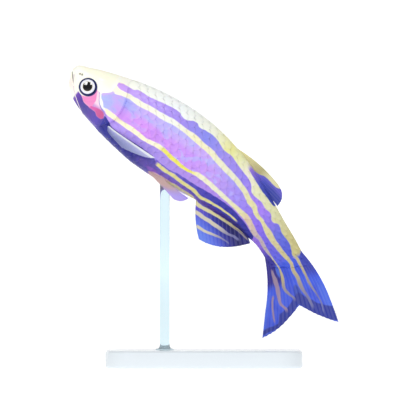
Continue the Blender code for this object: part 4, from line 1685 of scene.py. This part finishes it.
@dataclass(frozen=True)
class Tints:
    """Colours along the fish, painted shade of the underside among them, as rows of a distance or height
    and the screen colour there.
    """

    middle: Stops = (
        (5.0, 0.69, 0.74, 0.99), (6.7, 0.70, 0.72, 0.99), (7.6, 0.79, 0.65, 0.97),
        (12.0, 0.82, 0.58, 0.96), (16.0, 0.79, 0.58, 0.95), (20.0, 0.76, 0.56, 0.95),
        (24.0, 0.73, 0.58, 0.92), (26.0, 0.67, 0.56, 0.91), (29.0, 0.59, 0.51, 0.91),
        (33.0, 0.52, 0.40, 0.89), (36.0, 0.41, 0.36, 0.85), (38.0, 0.37, 0.36, 0.83),
        (41.0, 0.25, 0.36, 0.83),
    )
    upper: Stops = (
        (5.0, 0.70, 0.72, 0.99), (6.4, 0.76, 0.69, 0.98), (7.2, 0.77, 0.67, 0.98),
        (8.4, 0.69, 0.71, 0.99), (9.6, 0.72, 0.68, 0.98), (12.0, 0.78, 0.66, 0.97),
        (14.0, 0.73, 0.68, 0.98), (17.0, 0.77, 0.66, 0.95), (22.0, 0.76, 0.63, 0.94),
        (26.0, 0.64, 0.60, 0.94), (29.0, 0.60, 0.53, 0.92), (33.0, 0.53, 0.42, 0.89),
        (36.0, 0.41, 0.38, 0.85), (41.0, 0.25, 0.36, 0.83),
    )
    stripe: Stops = (
        (5.5, 0.81, 0.62, 0.95), (8.0, 0.77, 0.63, 0.96), (12.0, 0.69, 0.58, 0.95),
        (16.0, 0.62, 0.53, 0.91), (20.0, 0.53, 0.54, 0.92), (24.0, 0.61, 0.54, 0.90),
        (27.0, 0.57, 0.50, 0.91), (32.0, 0.62, 0.48, 0.92), (36.0, 0.38, 0.41, 0.83),
        (38.5, 0.29, 0.33, 0.80),
    )
    cream: Stops = (
        (5.0, 1.0, 0.99, 0.88), (10.0, 0.99, 0.96, 0.87), (15.0, 0.95, 0.95, 0.92),
        (19.0, 0.95, 0.92, 0.75), (26.0, 0.89, 0.88, 0.77), (30.0, 0.87, 0.84, 0.64),
        (33.0, 0.85, 0.82, 0.60), (37.0, 0.78, 0.73, 0.56), (41.0, 0.74, 0.70, 0.48),
    )
    back: Stops = (
        (5.0, 1.0, 1.0, 0.93), (15.0, 0.96, 0.97, 0.97), (20.0, 0.95, 0.95, 0.88),
        (23.5, 0.92, 0.90, 0.60), (25.2, 0.91, 0.91, 0.69), (27.2, 0.93, 0.90, 0.82),
        (29.5, 0.89, 0.88, 0.72), (33.0, 0.85, 0.84, 0.66), (37.0, 0.78, 0.74, 0.52),
        (40.0, 0.74, 0.70, 0.47),
    )
    lower: Stops = (
        (5.0, 0.78, 0.60, 0.93), (9.0, 0.70, 0.59, 0.94), (14.0, 0.64, 0.55, 0.90),
        (18.0, 0.64, 0.53, 0.87), (25.0, 0.65, 0.51, 0.87), (30.0, 0.62, 0.48, 0.88),
        (36.0, 0.52, 0.38, 0.82), (37.5, 0.30, 0.24, 0.68), (38.5, 0.17, 0.15, 0.55),
        (41.0, 0.20, 0.20, 0.60),
    )
    # Painted shade: the lower flank darkened towards the belly as if in shadow.
    dark: Stops = (
        (16.0, 0.38, 0.30, 0.76), (19.0, 0.40, 0.34, 0.76), (22.0, 0.30, 0.26, 0.69),
        (27.0, 0.18, 0.17, 0.62), (34.0, 0.12, 0.12, 0.54),
    )
    # Painted shade: the belly's dark blues stand in for the shadow under the fish.
    belly: Stops = (
        (6.7, 0.22, 0.22, 0.62), (7.6, 0.14, 0.15, 0.56), (9.0, 0.13, 0.14, 0.53),
        (13.0, 0.14, 0.12, 0.51), (14.5, 0.20, 0.17, 0.54), (16.0, 0.31, 0.26, 0.61),
        (18.0, 0.42, 0.31, 0.67), (22.0, 0.42, 0.32, 0.70), (26.0, 0.28, 0.17, 0.57),
        (29.0, 0.16, 0.07, 0.46), (32.0, 0.07, 0.05, 0.38), (35.0, 0.12, 0.11, 0.48),
    )
    keel: Stops = (
        (16.0, 0.62, 0.42, 0.60), (17.2, 0.78, 0.62, 0.68), (19.6, 0.77, 0.64, 0.62),
        (20.8, 0.72, 0.62, 0.78), (22.0, 0.69, 0.62, 0.88),
    )
    dorsal: Stops = (
        (26.5, 0.64, 0.50, 0.88), (28.1, 0.46, 0.38, 0.81), (29.3, 0.28, 0.31, 0.73),
        (31.0, 0.19, 0.24, 0.62),
    )
    # Painted shade: the throat's dark violets stand in for the shadow under the head.
    throat_shade: Stops = (
        (2.0, 0.46, 0.28, 0.72), (3.0, 0.34, 0.24, 0.62), (3.9, 0.30, 0.27, 0.60),
        (5.0, 0.37, 0.28, 0.64), (6.4, 0.35, 0.28, 0.69), (7.0, 0.28, 0.24, 0.62),
    )
    anal: Stops = (
        (-7.5, 0.38, 0.50, 0.90), (-6.5, 0.34, 0.43, 0.86), (-5.6, 0.27, 0.33, 0.78),
        (-4.8, 0.17, 0.19, 0.61), (-4.0, 0.11, 0.10, 0.47), (-3.2, 0.05, 0.04, 0.34),
        (-2.4, 0.08, 0.08, 0.42),
    )
    olive: Stops = (
        (24.0, 0.88, 0.85, 0.62), (26.5, 0.80, 0.77, 0.56), (28.2, 0.70, 0.67, 0.46),
        (29.5, 0.86, 0.84, 0.66),
    )
    tan: Stops = (
        (39.0, 0.78, 0.72, 0.50), (41.5, 0.74, 0.68, 0.48), (43.0, 0.62, 0.57, 0.52),
        (45.0, 0.47, 0.46, 0.60), (47.0, 0.40, 0.42, 0.66),
    )


@dataclass(frozen=True)
class Markings:
    """Shader node group that paints stripes, patches and painted shade over skin, scales and fins."""

    lines: StripeLines = StripeLines()
    tints: Tints = Tints()
    fork: float = 45.85
    sheens: tuple[Patch, ...] = (
        ((10.0, -1.5), (5.5, 1.2), (1.0, 0.95, 0.81)), ((18.6, -1.9), (3.1, 1.2), (0.91, 0.87, 0.36)),
        ((33.6, -1.5), (2.6, 1.2), (0.82, 0.72, 0.63)),
    )
    belly_spots: tuple[Patch, ...] = (
        ((15.1, -4.5), (1.3, 0.45), (0.33, 0.25, 0.60)), ((16.5, -4.75), (0.9, 0.28), (0.50, 0.30, 0.70)),
    )
    # Nostril pits darkened with painted shade.
    nostrils: tuple[tuple[Pair, float], ...] = (((0.80, 0.68), 0.13), ((1.10, 0.80), 0.14))
    cheek_ring: Pair = (2.68, -0.04)

    def body(self, at: Place) -> Socket:
        """Colours of head, trunk and tail, laid stripe by stripe, with painted shade on the underside.

        Args:
            at: Place on the fish.

        Returns:
            The colour there.
        """
        graph, lines, tints = at.graph, self.lines, self.tints
        rise, ramp = graph.smooth, graph.ramp
        s, n, sw, nw = at.s, at.n, at.sw, at.nw
        col = Coats(graph, ramp(sw, tints.middle))
        col.lay(ramp(sw, tints.upper), rise(0.0, 0.9, nw))
        blotch = rise(0.54, 0.60, graph.noise(at.spot, 0.55, 1.0))
        col.lay((0.69, 0.70, 1.0), blotch, rise(30.0, 26.0, s), 0.62)
        col.lay((0.85, 0.54, 0.95), rise(0.3, -0.9, nw), graph.window(s, 7.5, 9.0, 15.0, 18.0), 0.5)
        plum = rise(0.55, 0.60, graph.noise(graph.vector(sw, graph.times(nw, 2.0), 7.0), 0.6, 1.0))
        col.lay((0.72, 0.52, 0.90), plum, rise(0.5, 0.1, n), graph.window(s, 8.0, 11.0, 22.0, 25.0), 0.55)
        cream = ramp(sw, tints.cream)
        first, second = at.above(lines.first_low), at.above(lines.second_high)
        col.lay(ramp(sw, tints.stripe), first)
        col.lay(cream, graph.inverse(first), second)
        rounded = at.patch((7.6, 2.62), (1.9, 0.5), soft=0.12)
        col.lay(cream, rise(7.4, 7.0, s), graph.inverse(rounded), second)
        col.lay(ramp(sw, tints.back), at.above(lines.upper))
        col.lay((0.22, 0.25, 0.66), rise(38.5, 38.9, sw), at.above(lines.tail_corner))
        high, low = at.above(lines.second_low), at.above(lines.third_high)
        behind_head = rise(6.0, 6.6, s)
        col.lay(ramp(sw, tints.lower), graph.inverse(low), behind_head)
        bright = Coats(graph, cream)
        for middle, size, tint in self.sheens:
            bright.lay(tint, at.patch(middle, size))
        pale_stripe = graph.both(graph.inverse(high), low)
        col.lay(bright.colour, pale_stripe, behind_head)
        # Painted shade over the lower flank, below its edge line.
        col.lay(ramp(s, tints.dark), at.below(lines.flank_shade_edge), graph.window(s, 15.8, 16.4, 34.2, 34.6))
        # Painted shade: the underside below the belly line darkened as if in shadow, with spots laid into
        # it.
        underside_shade = graph.both(at.below(lines.belly), rise(6.7, 7.1, sw), rise(34.6, 34.2, s))
        col.lay(ramp(sw, tints.belly), underside_shade)
        for middle, size, tint in self.belly_spots:
            col.lay(tint, at.patch(middle, size), underside_shade, 0.8)
        col.lay(ramp(sw, tints.keel), at.below(lines.keel), graph.window(s, 16.0, 16.5, 23.3, 23.8))
        col.lay((0.84, 0.80, 0.52), at.streak(lines.yellow, 0.24, 0.13))
        col.lay((0.81, 0.76, 0.54), at.streak(lines.gold, 0.19), 0.9)
        col.lay((0.66, 0.60, 0.67), pale_stripe, graph.window(s, 32.0, 35.0, 37.6, 38.6), 0.75)
        saddle = graph.window(s, 26.4, 27.2, 32.5, 32.9)
        col.lay(ramp(sw, tints.dorsal), at.above(lines.dorsal_foot), saddle)
        self.face(at, col)
        return col.colour

    def face(self, at: Place, col: Coats) -> None:
        """Lay the colours of the head over those of the body, with painted shade under the throat, in the
        nostrils, in the mouth slit and in the groove behind the cheek.

        Args:
            at: Place on the fish.
            col: Colours of the body.
        """
        graph, rise, lines = at.graph, at.graph.smooth, self.lines
        s, n, sw, nw = at.s, at.n, at.sw, at.nw
        nape = graph.line(rise(0.25, 1.4, n), 0.95, 5.0)
        past = graph.less(sw, graph.line(rise(0.1, -1.1, n), 1.1, nape))
        side = graph.both(rise(0.0, 0.25, n), rise(1.6, 1.3, nw))
        col.lay((0.80, 0.70, 0.95), rise(0.6, 0.2, past), side)
        col.lay((1.0, 1.0, 0.94), rise(0.1, -0.1, past))
        col.lay((1.0, 0.99, 0.86), rise(5.9, 5.2, s), rise(1.1, 1.9, n), 0.5)
        within = rise(7.15, 6.9, sw)
        high = at.above(lines.throat_shade)
        blush = graph.mix(rise(-1.1, -1.7, n), paint(0.97, 0.84, 0.91), paint(0.80, 0.58, 0.82))
        col.lay(blush, at.below(lines.cheek_shade_line), high, rise(4.1, 4.3, s), rise(7.0, 6.6, sw))
        col.lay((0.95, 0.97, 0.98), at.streak(lines.cheek_white, 0.13))
        # Painted shade: thin blue-grey line where the groove behind the cheek falls dark.
        col.lay((0.56, 0.48, 0.80), at.streak(lines.cheek_shade_line, 0.07))
        # Painted shade under the throat, below its edge line.
        throat_shade = graph.both(graph.inverse(high), rise(1.95, 2.25, s), within)
        col.lay(graph.ramp(sw, self.tints.throat_shade), throat_shade)
        away = graph.length(graph.less(s, self.cheek_ring[0]), graph.less(n, self.cheek_ring[1]))
        hind = graph.line(rise(-1.1, 0.45, nw), -0.6, 4.78)
        ahead = graph.both(rise(0.07, -0.07, graph.less(s, hind)), rise(2.6, 3.0, s))
        cheek = graph.both(high, rise(1.34, 1.44, away), ahead, rise(0.5, 0.2, nw))
        col.lay((0.93, 0.54, 0.77), cheek)
        coral = graph.mix(rise(5.0, 6.2, sw), paint(0.85, 0.38, 0.68), paint(0.78, 0.35, 0.58))
        col.lay(coral, high, at.below(lines.coral), rise(4.3, 4.7, s), within)
        col.lay((0.97, 0.88, 0.86), at.patch((0.55, -1.0), (0.8, 0.28), -42.0, 0.6, False), 0.5)
        # Painted shade in the nostril pits.
        for middle, half in self.nostrils:
            col.lay((0.42, 0.40, 0.30), at.patch(middle, (half, half), 0.0, 0.5, False), 0.75)
        # Painted shade: dark line along the mouth slit.
        col.lay((0.30, 0.24, 0.30), at.patch((0.3, -0.28), (0.86, 0.055), -42.4, 0.5, False), 0.8)
        col.lay((0.16, 0.17, 0.42), at.patch((2.84, -0.05), (1.3, 1.28), 0.0, 0.05, False))

    def dorsal(self, at: Place) -> Socket:
        """Colours of the dorsal fin, olive with a blue patch.

        Args:
            at: Place on the fish.

        Returns:
            The colour there.
        """
        graph, rise = at.graph, at.graph.smooth
        blue = Coats(graph, graph.ramp(at.sw, self.tints.dorsal))
        blue.lay((0.40, 0.36, 0.80), rise(3.8, 4.5, at.nw), rise(28.5, 29.5, at.s), 0.75)
        col = Coats(graph, graph.ramp(at.s, self.tints.olive))
        col.lay(blue.colour, at.below(self.lines.dorsal_blue), rise(26.2, 26.7, at.s))
        return col.colour

    def anal(self, at: Place) -> Socket:
        """Colours of the anal fin, blue with pale streaks.

        Args:
            at: Place on the fish.

        Returns:
            The colour there.
        """
        graph, rise, lines = at.graph, at.graph.smooth, self.lines
        col = Coats(graph, graph.ramp(graph.line(graph.less(at.sw, 28.0), 0.2, at.nw), self.tints.anal))
        col.lay((0.40, 0.28, 0.74), rise(28.5, 25.5, at.s), rise(-7.0, -5.0, at.n), 0.6)
        fade = rise(32.5, 28.5, at.s)
        pale = graph.mix(fade, paint(0.42, 0.42, 0.62), paint(0.80, 0.77, 0.68))
        for points, half in ((lines.anal_upper, 0.27), (lines.anal_lower, 0.2)):
            col.lay(pale, at.streak(points, half, 0.1))
        gold = graph.mix(fade, paint(0.56, 0.52, 0.52), paint(0.86, 0.83, 0.59))
        col.lay(gold, at.streak(lines.gold, 0.25, 0.14), 0.9)
        return col.colour

    def tail(self, at: Place) -> Socket:
        """Colours of the tail fin, blue with tan streaks and a dark hind band.

        Args:
            at: Place on the fish.

        Returns:
            The colour there.
        """
        graph, rise, lines = at.graph, at.graph.smooth, self.lines
        s, n, sw, nw = at.s, at.n, at.sw, at.nw
        col = Coats(graph, paint(0.25, 0.36, 0.86))
        col.lay((0.21, 0.30, 0.80), rise(0.3, 0.7, graph.noise(at.spot, 0.5)))
        col.lay((0.18, 0.26, 0.64), at.patch((44.4, 0.15), (1.4, 0.5), 4.0, 0.2), 0.9)
        lobes = (graph.line(sw, -0.32, 9.75), graph.line(sw, 0.27, -8.45))
        middle = graph.mix(rise(-0.2, 0.2, n), *lobes)
        near = rise(0.7, 0.35, graph.size(graph.less(middle, nw)))
        col.lay((0.31, 0.44, 0.88), rise(42.5, 44.5, sw), near, 0.7)
        off = graph.size(n)
        rear = graph.less(graph.line(off, 1.15, self.fork), graph.times(graph.times(off, off), 0.1))
        gap = graph.less(rear, sw)
        lower_lobe = graph.both(rise(-3.3, -2.9, nw), 0.65)
        lobe = graph.mix(rise(0.0, 0.3, n), lower_lobe, WHITE)
        band = rise(0.12, -0.12, graph.less(gap, graph.line(lobe, 1.4, 0.75)))
        col.lay((0.14, 0.18, 0.55), band, 0.9)
        col.lay((0.33, 0.44, 0.92), rise(0.22, 0.12, gap), 0.6)
        root = rise(43.0, 41.5, sw)
        col.lay((0.22, 0.25, 0.66), root, at.above(lines.tail_corner))
        col.lay((0.17, 0.14, 0.52), root, at.below(lines.tail_low))
        col.lay((0.29, 0.43, 0.86), at.patch((40.1, -1.5), (1.2, 0.22), -5.0), 0.8)
        tan, dusky = graph.ramp(s, self.tints.tan), (0.60, 0.51, 0.60)
        for points, half, fuller, tint in (
            (lines.upper, 0.16, 0.06, tan), (lines.tail_middle, 0.27, -0.02, tan),
            (lines.tail_low, 0.22, -0.13, tan), (lines.tail_third, 0.29, -0.17, dusky),
            (lines.tail_lowest, 0.17, 0.0, dusky),
        ):
            wide = graph.line(rise(42.0, 39.5, s), fuller, half)
            wide = graph.line(rise(43.0, 45.5, s), -0.3 * half, wide)
            streak = rise(at.edge, -at.edge, graph.less(graph.size(at.over(points)), wide))
            first, last = max(points[0][0], 38.0), points[-1][0]
            col.lay(tint, streak, graph.window(s, first - 0.3, first + 0.3, last - 0.4, last + 0.4), 0.94)
        return col.colour

    def group(self) -> bpy.types.NodeTree:
        """Node group from a place on the straightened fish to its colour and a cloud of values."""
        tree = bpy.data.node_groups.new("fish_markings", "ShaderNodeTree")
        for name, way, kind in (("Place", "INPUT", "Vector"), ("Fins", "INPUT", "Float"),
                                ("Colour", "OUTPUT", "Color"), ("Cloud", "OUTPUT", "Float")):
            tree.interface.new_socket(name, in_out=way, socket_type=f"NodeSocket{kind}")
        graph = Graph(tree)
        source = graph.node("NodeGroupInput")
        at, rise = Place(graph, source.outputs["Place"]), graph.smooth
        web = Coats(graph, self.anal(at))
        web.lay(self.dorsal(at), rise(-0.5, 0.5, at.n))
        web.lay(self.tail(at), rise(36.0, 37.5, at.s))
        share = graph.math("MAXIMUM", source.outputs["Fins"], rise(39.2, 39.8, at.sw))
        colour = graph.mix(share, self.body(at), web.colour)
        sink = graph.node("NodeGroupOutput")
        graph.fill(sink, {"Colour": colour, "Cloud": graph.noise(at.spot, 2.2, 3.0)})
        return tree


def blank(name: str) -> tuple[Material, Graph, bpy.types.Node]:
    """New material, the words for its nodes, and its shader."""
    finish = bpy.data.materials.new(name)
    finish.use_nodes = True
    return finish, Graph(finish.node_tree), finish.node_tree.nodes["Principled BSDF"]


def own_map(graph: Graph) -> tuple[Socket, Socket]:
    """The two values of a piece's own map."""
    return graph.split(graph.node("ShaderNodeUVMap", uv_map=LOCAL_MAP).outputs[0])


def ray_mask(graph: Graph) -> Socket:
    """Mask of the bony rays of a fin, forked towards their tips."""
    across, along = own_map(graph)
    fork = graph.times(graph.smooth(0.4, 0.75, along), 0.15)
    return graph.smooth(0.2, 0.06, graph.size(graph.less(graph.math("PINGPONG", across, 0.5), fork)))


@dataclass(frozen=True)
class SkinFinish:
    """Wet, pearly finish of skin, scales or fins, painted with the markings."""

    name: str
    fins: float = 0.0
    roughness: float = 0.34
    coat: float = 0.15
    scatter: float = 0.0
    scatter_reach: float = 0.0003
    bump: float = 0.25
    bump_height: float = 0.00004
    scales: bool = False

    def build(self, markings: bpy.types.NodeTree) -> Material:
        """Material that looks its colours up on the straightened fish.

        Args:
            markings: Node group of the markings.

        Returns:
            The material.
        """
        finish, graph, shader = blank(self.name)
        straight = graph.node("ShaderNodeUVMap", uv_map=STRAIGHT_MAP)
        painted = graph.node("ShaderNodeGroup", node_tree=markings)
        graph.fill(painted, {"Place": straight.outputs[0], "Fins": self.fins})
        col = Coats(graph, painted.outputs["Colour"])
        height = graph.times(painted.outputs["Cloud"], 0.15)
        if self.fins:
            col.lay((0.80, 0.80, 0.98), ray_mask(graph), 0.06)
        if self.scales:
            along, across = own_map(graph)
            # Painted highlight: the free hind edge of each scale lightened as if it catches the light.
            painted_edge_highlight = graph.both(graph.smooth(0.72, 1.0, along), 0.2)
            col.colour = graph.mix(painted_edge_highlight, col.colour, paint(0.98, 0.96, 1.0), "OVERLAY")
            # Painted shade across the front of each scale, where it runs under the scale before it.
            col.lay((0.25, 0.18, 0.50), graph.smooth(0.55, 0.30, along), 0.12)
            away = graph.length(along, graph.times(graph.less(across, 0.5), 1.1))
            height = graph.line(graph.math("SINE", graph.times(away, 90.0)), 0.05, height)
        relief = graph.node("ShaderNodeBump")
        graph.fill(relief, {"Strength": self.bump, "Distance": self.bump_height, "Height": height})
        graph.fill(shader, {
            "Base Color": col.colour, "Normal": relief.outputs[0], "Roughness": self.roughness, "IOR": 1.36,
            "Coat Weight": self.coat, "Coat Roughness": 0.12,
            "Subsurface Weight": self.scatter, "Subsurface Scale": self.scatter_reach,
        })
        return finish


@dataclass(frozen=True)
class PairedFinFinish:
    """Finish of chest and belly fins, from the leading ray to the hindmost."""

    name: str
    stops: Stops
    root: Colour
    rays: int
    root_reach: float = 0.0
    ray_tint: float = 0.14

    def build(self) -> Material:
        """Material whose colour changes across the fin and at its root."""
        finish, graph, shader = blank(self.name)
        across, along = own_map(graph)
        share = graph.math("DIVIDE", across, self.rays - 1.0)
        cloud = graph.noise(graph.vector(graph.times(share, 5.0), along), 2.5)
        col = Coats(graph, graph.ramp(graph.line(graph.less(cloud, 0.5), 0.16, share), self.stops))
        col.lay((0.90, 0.90, 1.0), ray_mask(graph), self.ray_tint)
        col.lay(self.root, graph.smooth(self.root_reach + 0.2, self.root_reach - 0.1, along))
        graph.fill(shader, {"Base Color": col.colour, "Roughness": 0.32, "Coat Weight": 0.25})
        return finish


@dataclass(frozen=True)
class IrisFinish:
    """Silver-white iris round a black pupil, with a dark blue rim."""

    pupil: float = 0.65
    ring: float = 0.75

    def build(self) -> Material:
        """Material drawn by the distance from the middle of the eye."""
        finish, graph, shader = blank("iris")
        x, y = own_map(graph)
        away = graph.length(x, y)
        turn = graph.math("ARCTAN2", y, x)
        around = graph.vector(graph.math("COSINE", turn), graph.math("SINE", turn), away)
        col = Coats(graph, paint(0.98, 0.98, 1.0))
        col.lay((0.83, 0.85, 0.93), graph.smooth(0.35, 0.75, graph.noise(around, 9.0, 4.0)))
        col.lay((0.80, 0.76, 0.62), graph.smooth(self.ring, self.pupil, away))
        col.lay((0.12, 0.16, 0.38), graph.smooth(0.955, 1.04, away))
        col.lay((0.02, 0.02, 0.05), graph.smooth(self.pupil + 0.02, self.pupil - 0.03, away))
        graph.fill(shader, {
            "Base Color": col.colour, "Roughness": 0.4, "Specular IOR Level": 0.0,
            "Coat Weight": 1.0, "Coat IOR": 1.4, "Coat Roughness": 0.02,
        })
        return finish


@dataclass(frozen=True)
class PlainFinish:
    """Finish of one colour."""

    name: str
    colour: Colour
    roughness: float = 0.4
    clear: float = 0.0
    bending: float = 1.45
    glow: float = 0.0

    def build(self) -> Material:
        """Material with constant values."""
        finish, graph, shader = blank(self.name)
        graph.fill(shader, {
            "Base Color": paint(*self.colour), "Roughness": self.roughness, "IOR": self.bending,
            "Transmission Weight": self.clear, "Emission Color": WHITE, "Emission Strength": self.glow,
        })
        return finish


@dataclass(frozen=True)
class Lamp:
    """Square soft light: its name, its place, its size in millimetres and its power."""

    name: str
    place: Triple
    size: float
    power: float

    def build(self, aim: Triple = (0.0, 0.0, 24.0)) -> Thing:
        """Make the light and turn it to the fish.

        Args:
            aim: Point that the light looks at.

        Returns:
            The light.
        """
        lamp = bpy.data.lights.new(self.name, "AREA")
        lamp.size = self.size * MM
        lamp.energy = self.power
        thing = placed(self.name, lamp)
        thing.location = Vector(self.place) * MM
        way = Vector(aim) * MM - thing.location
        thing.rotation_euler = way.to_track_quat("-Z", "Y").to_euler()
        return thing


@dataclass
class Studio:
    """Pale floor with a curved back, soft lights and the camera."""

    floor_size: float = 2000.0
    curve: float = 200.0
    behind: float = 1200.0
    height: float = 800.0
    lens: float = 650.0
    sensor: float = 36.0
    clips: Pair = (0.001, 10.0)
    view_width: float = 55.0
    aim: Pair = (-0.55, 23.03)
    surround: float = 0.58
    backdrop_glow: float = 0.40
    front: Lamp = Lamp("front", (-20.0, -265.0, 40.0), 260.0, 0.119)
    lamps: tuple[Lamp, ...] = (
        Lamp("key", (-90.0, -163.0, 216.0), 34.0, 0.105), Lamp("side", (49.0, -193.0, 186.0), 26.0, 0.055),
        Lamp("top", (20.0, 40.0, 220.0), 160.0, 0.02),
    )
    glints: tuple[Lamp, ...] = (
        Lamp("glint", (-119.0, -169.0, 195.0), 95.0, 0.9), Lamp("glint", (49.0, -199.0, 181.0), 52.0, 0.27),
    )

    def backdrop(self) -> None:
        """Sheet that lies flat under the fish and curves up behind it."""
        turn = np.linspace(0.0, 0.5 * np.pi, 24)[1:]
        line = [(-self.floor_size, 0.0), (self.behind, 0.0)]
        line += [(self.behind + self.curve * math.sin(t), self.curve * (1.0 - math.cos(t))) for t in turn]
        line.append((self.behind + self.curve, self.height))
        points = np.array([(x, y, z) for y, z in line for x in (-self.floor_size, self.floor_size)])
        mesh = bpy.data.meshes.new("backdrop")
        mesh.from_pydata((points * MM).tolist(), [], grid_faces(len(line), 2))
        mesh.shade_smooth()
        paper = PlainFinish("backdrop_paper", (1.0, 1.0, 1.0), 0.9, glow=self.backdrop_glow)
        mesh.materials.append(paper.build())
        placed("backdrop", mesh)

    def surroundings(self) -> None:
        """White surround that shines less on the fish than it shows behind it."""
        world = bpy.data.worlds.new("surround")
        world.use_nodes = True
        graph = Graph(world.node_tree)
        seen = graph.node("ShaderNodeLightPath").outputs["Is Camera Ray"]
        strength = graph.line(seen, 1.0 - self.surround, self.surround)
        graph.fill(world.node_tree.nodes["Background"], {"Strength": strength, "Color": WHITE})
        bpy.context.scene.world = world

    def lights(self, eyes: list[Thing]) -> None:
        """Soft lights on the whole fish, and two that reach only the eyes.

        Args:
            eyes: Pieces that the small lights glint in.
        """
        for lamp in self.lamps:
            lamp.build()
        front = self.front.build()
        front.visible_glossy = False
        front.visible_camera = False
        lit = bpy.data.collections.new("glinting_eyes")
        for eye in eyes:
            lit.objects.link(eye)
        for lamp in self.glints:
            glint = lamp.build()
            glint.light_linking.receiver_collection = lit
            glint.visible_diffuse = False

    def camera(self) -> None:
        """Camera level with the fish, looking at its left side."""
        lens = bpy.data.cameras.new("camera")
        lens.lens = self.lens
        lens.sensor_width = self.sensor
        lens.clip_start, lens.clip_end = self.clips
        thing = placed("camera", lens)
        away = self.view_width * self.lens / self.sensor
        thing.location = Vector((self.aim[0], -away, self.aim[1])) * MM
        thing.rotation_euler = (0.5 * math.pi, 0.0, 0.0)
        bpy.context.scene.camera = thing

    def build(self, eyes: list[Thing]) -> None:
        """Set up floor, surround, lights and camera.

        Args:
            eyes: Eyeballs of the fish.
        """
        self.backdrop()
        self.surroundings()
        self.lights(eyes)
        self.camera()
        bpy.context.scene.view_settings.view_transform = "Standard"


def main() -> None:
    """Build the fish on its stand, and the studio round it."""
    logging.basicConfig(level=logging.INFO, format="%(name)s: %(message)s")
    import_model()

    form = BodyForm()
    markings = Markings().group()
    skin = SkinFinish("fish_skin", scatter=0.08).build(markings)
    coat = SkinFinish("fish_scales", roughness=0.3, scales=True, scatter=0.05).build(markings)
    web = SkinFinish("fin_web", fins=1.0, roughness=0.36, coat=0.1).build(markings)
    # Painted highlight: the white band along the chest fins' leading ray.
    pale = PairedFinFinish("chest_fin_web", (
        (0.0, 0.90, 0.92, 0.93), (0.14, 0.88, 0.90, 0.93), (0.24, 0.66, 0.67, 0.84),
        (0.45, 0.60, 0.62, 0.82), (0.7, 0.53, 0.56, 0.75), (1.0, 0.40, 0.42, 0.66)),
        (0.48, 0.51, 0.70), 11, -0.02).build()
    rosy = PairedFinFinish("belly_fin_web", (
        (0.0, 0.68, 0.60, 0.91), (0.5, 0.66, 0.58, 0.92), (1.0, 0.60, 0.52, 0.88)),
        (0.77, 0.65, 0.64), 8, 0.73).build()
    feeler = PlainFinish("feeler_skin", (0.93, 0.88, 0.90), 0.4).build()
    iris = IrisFinish().build()
    acrylic = PlainFinish("clear_acrylic", (0.84, 0.92, 0.95), 0.03, clear=1.0, bending=1.49).build()
    frosted = PlainFinish("frosted_acrylic", (0.88, 0.91, 0.93), 0.22).build()

    made = [FishSkin(form).build(skin)]
    made += ScaleCoat(form).build(coat)
    made += FinSet(form).build(web, pale, rosy)
    eyes = Eyes(form).build(iris)
    made += eyes
    made += Feelers(form).build(feeler)
    made += Stand(form).build(frosted, acrylic)
    for thing in made:
        LOG.info("%s: %d faces", thing.name, len(thing.data.polygons))

    Studio().build(eyes)
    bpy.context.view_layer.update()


if __name__ == "__main__":
    main()
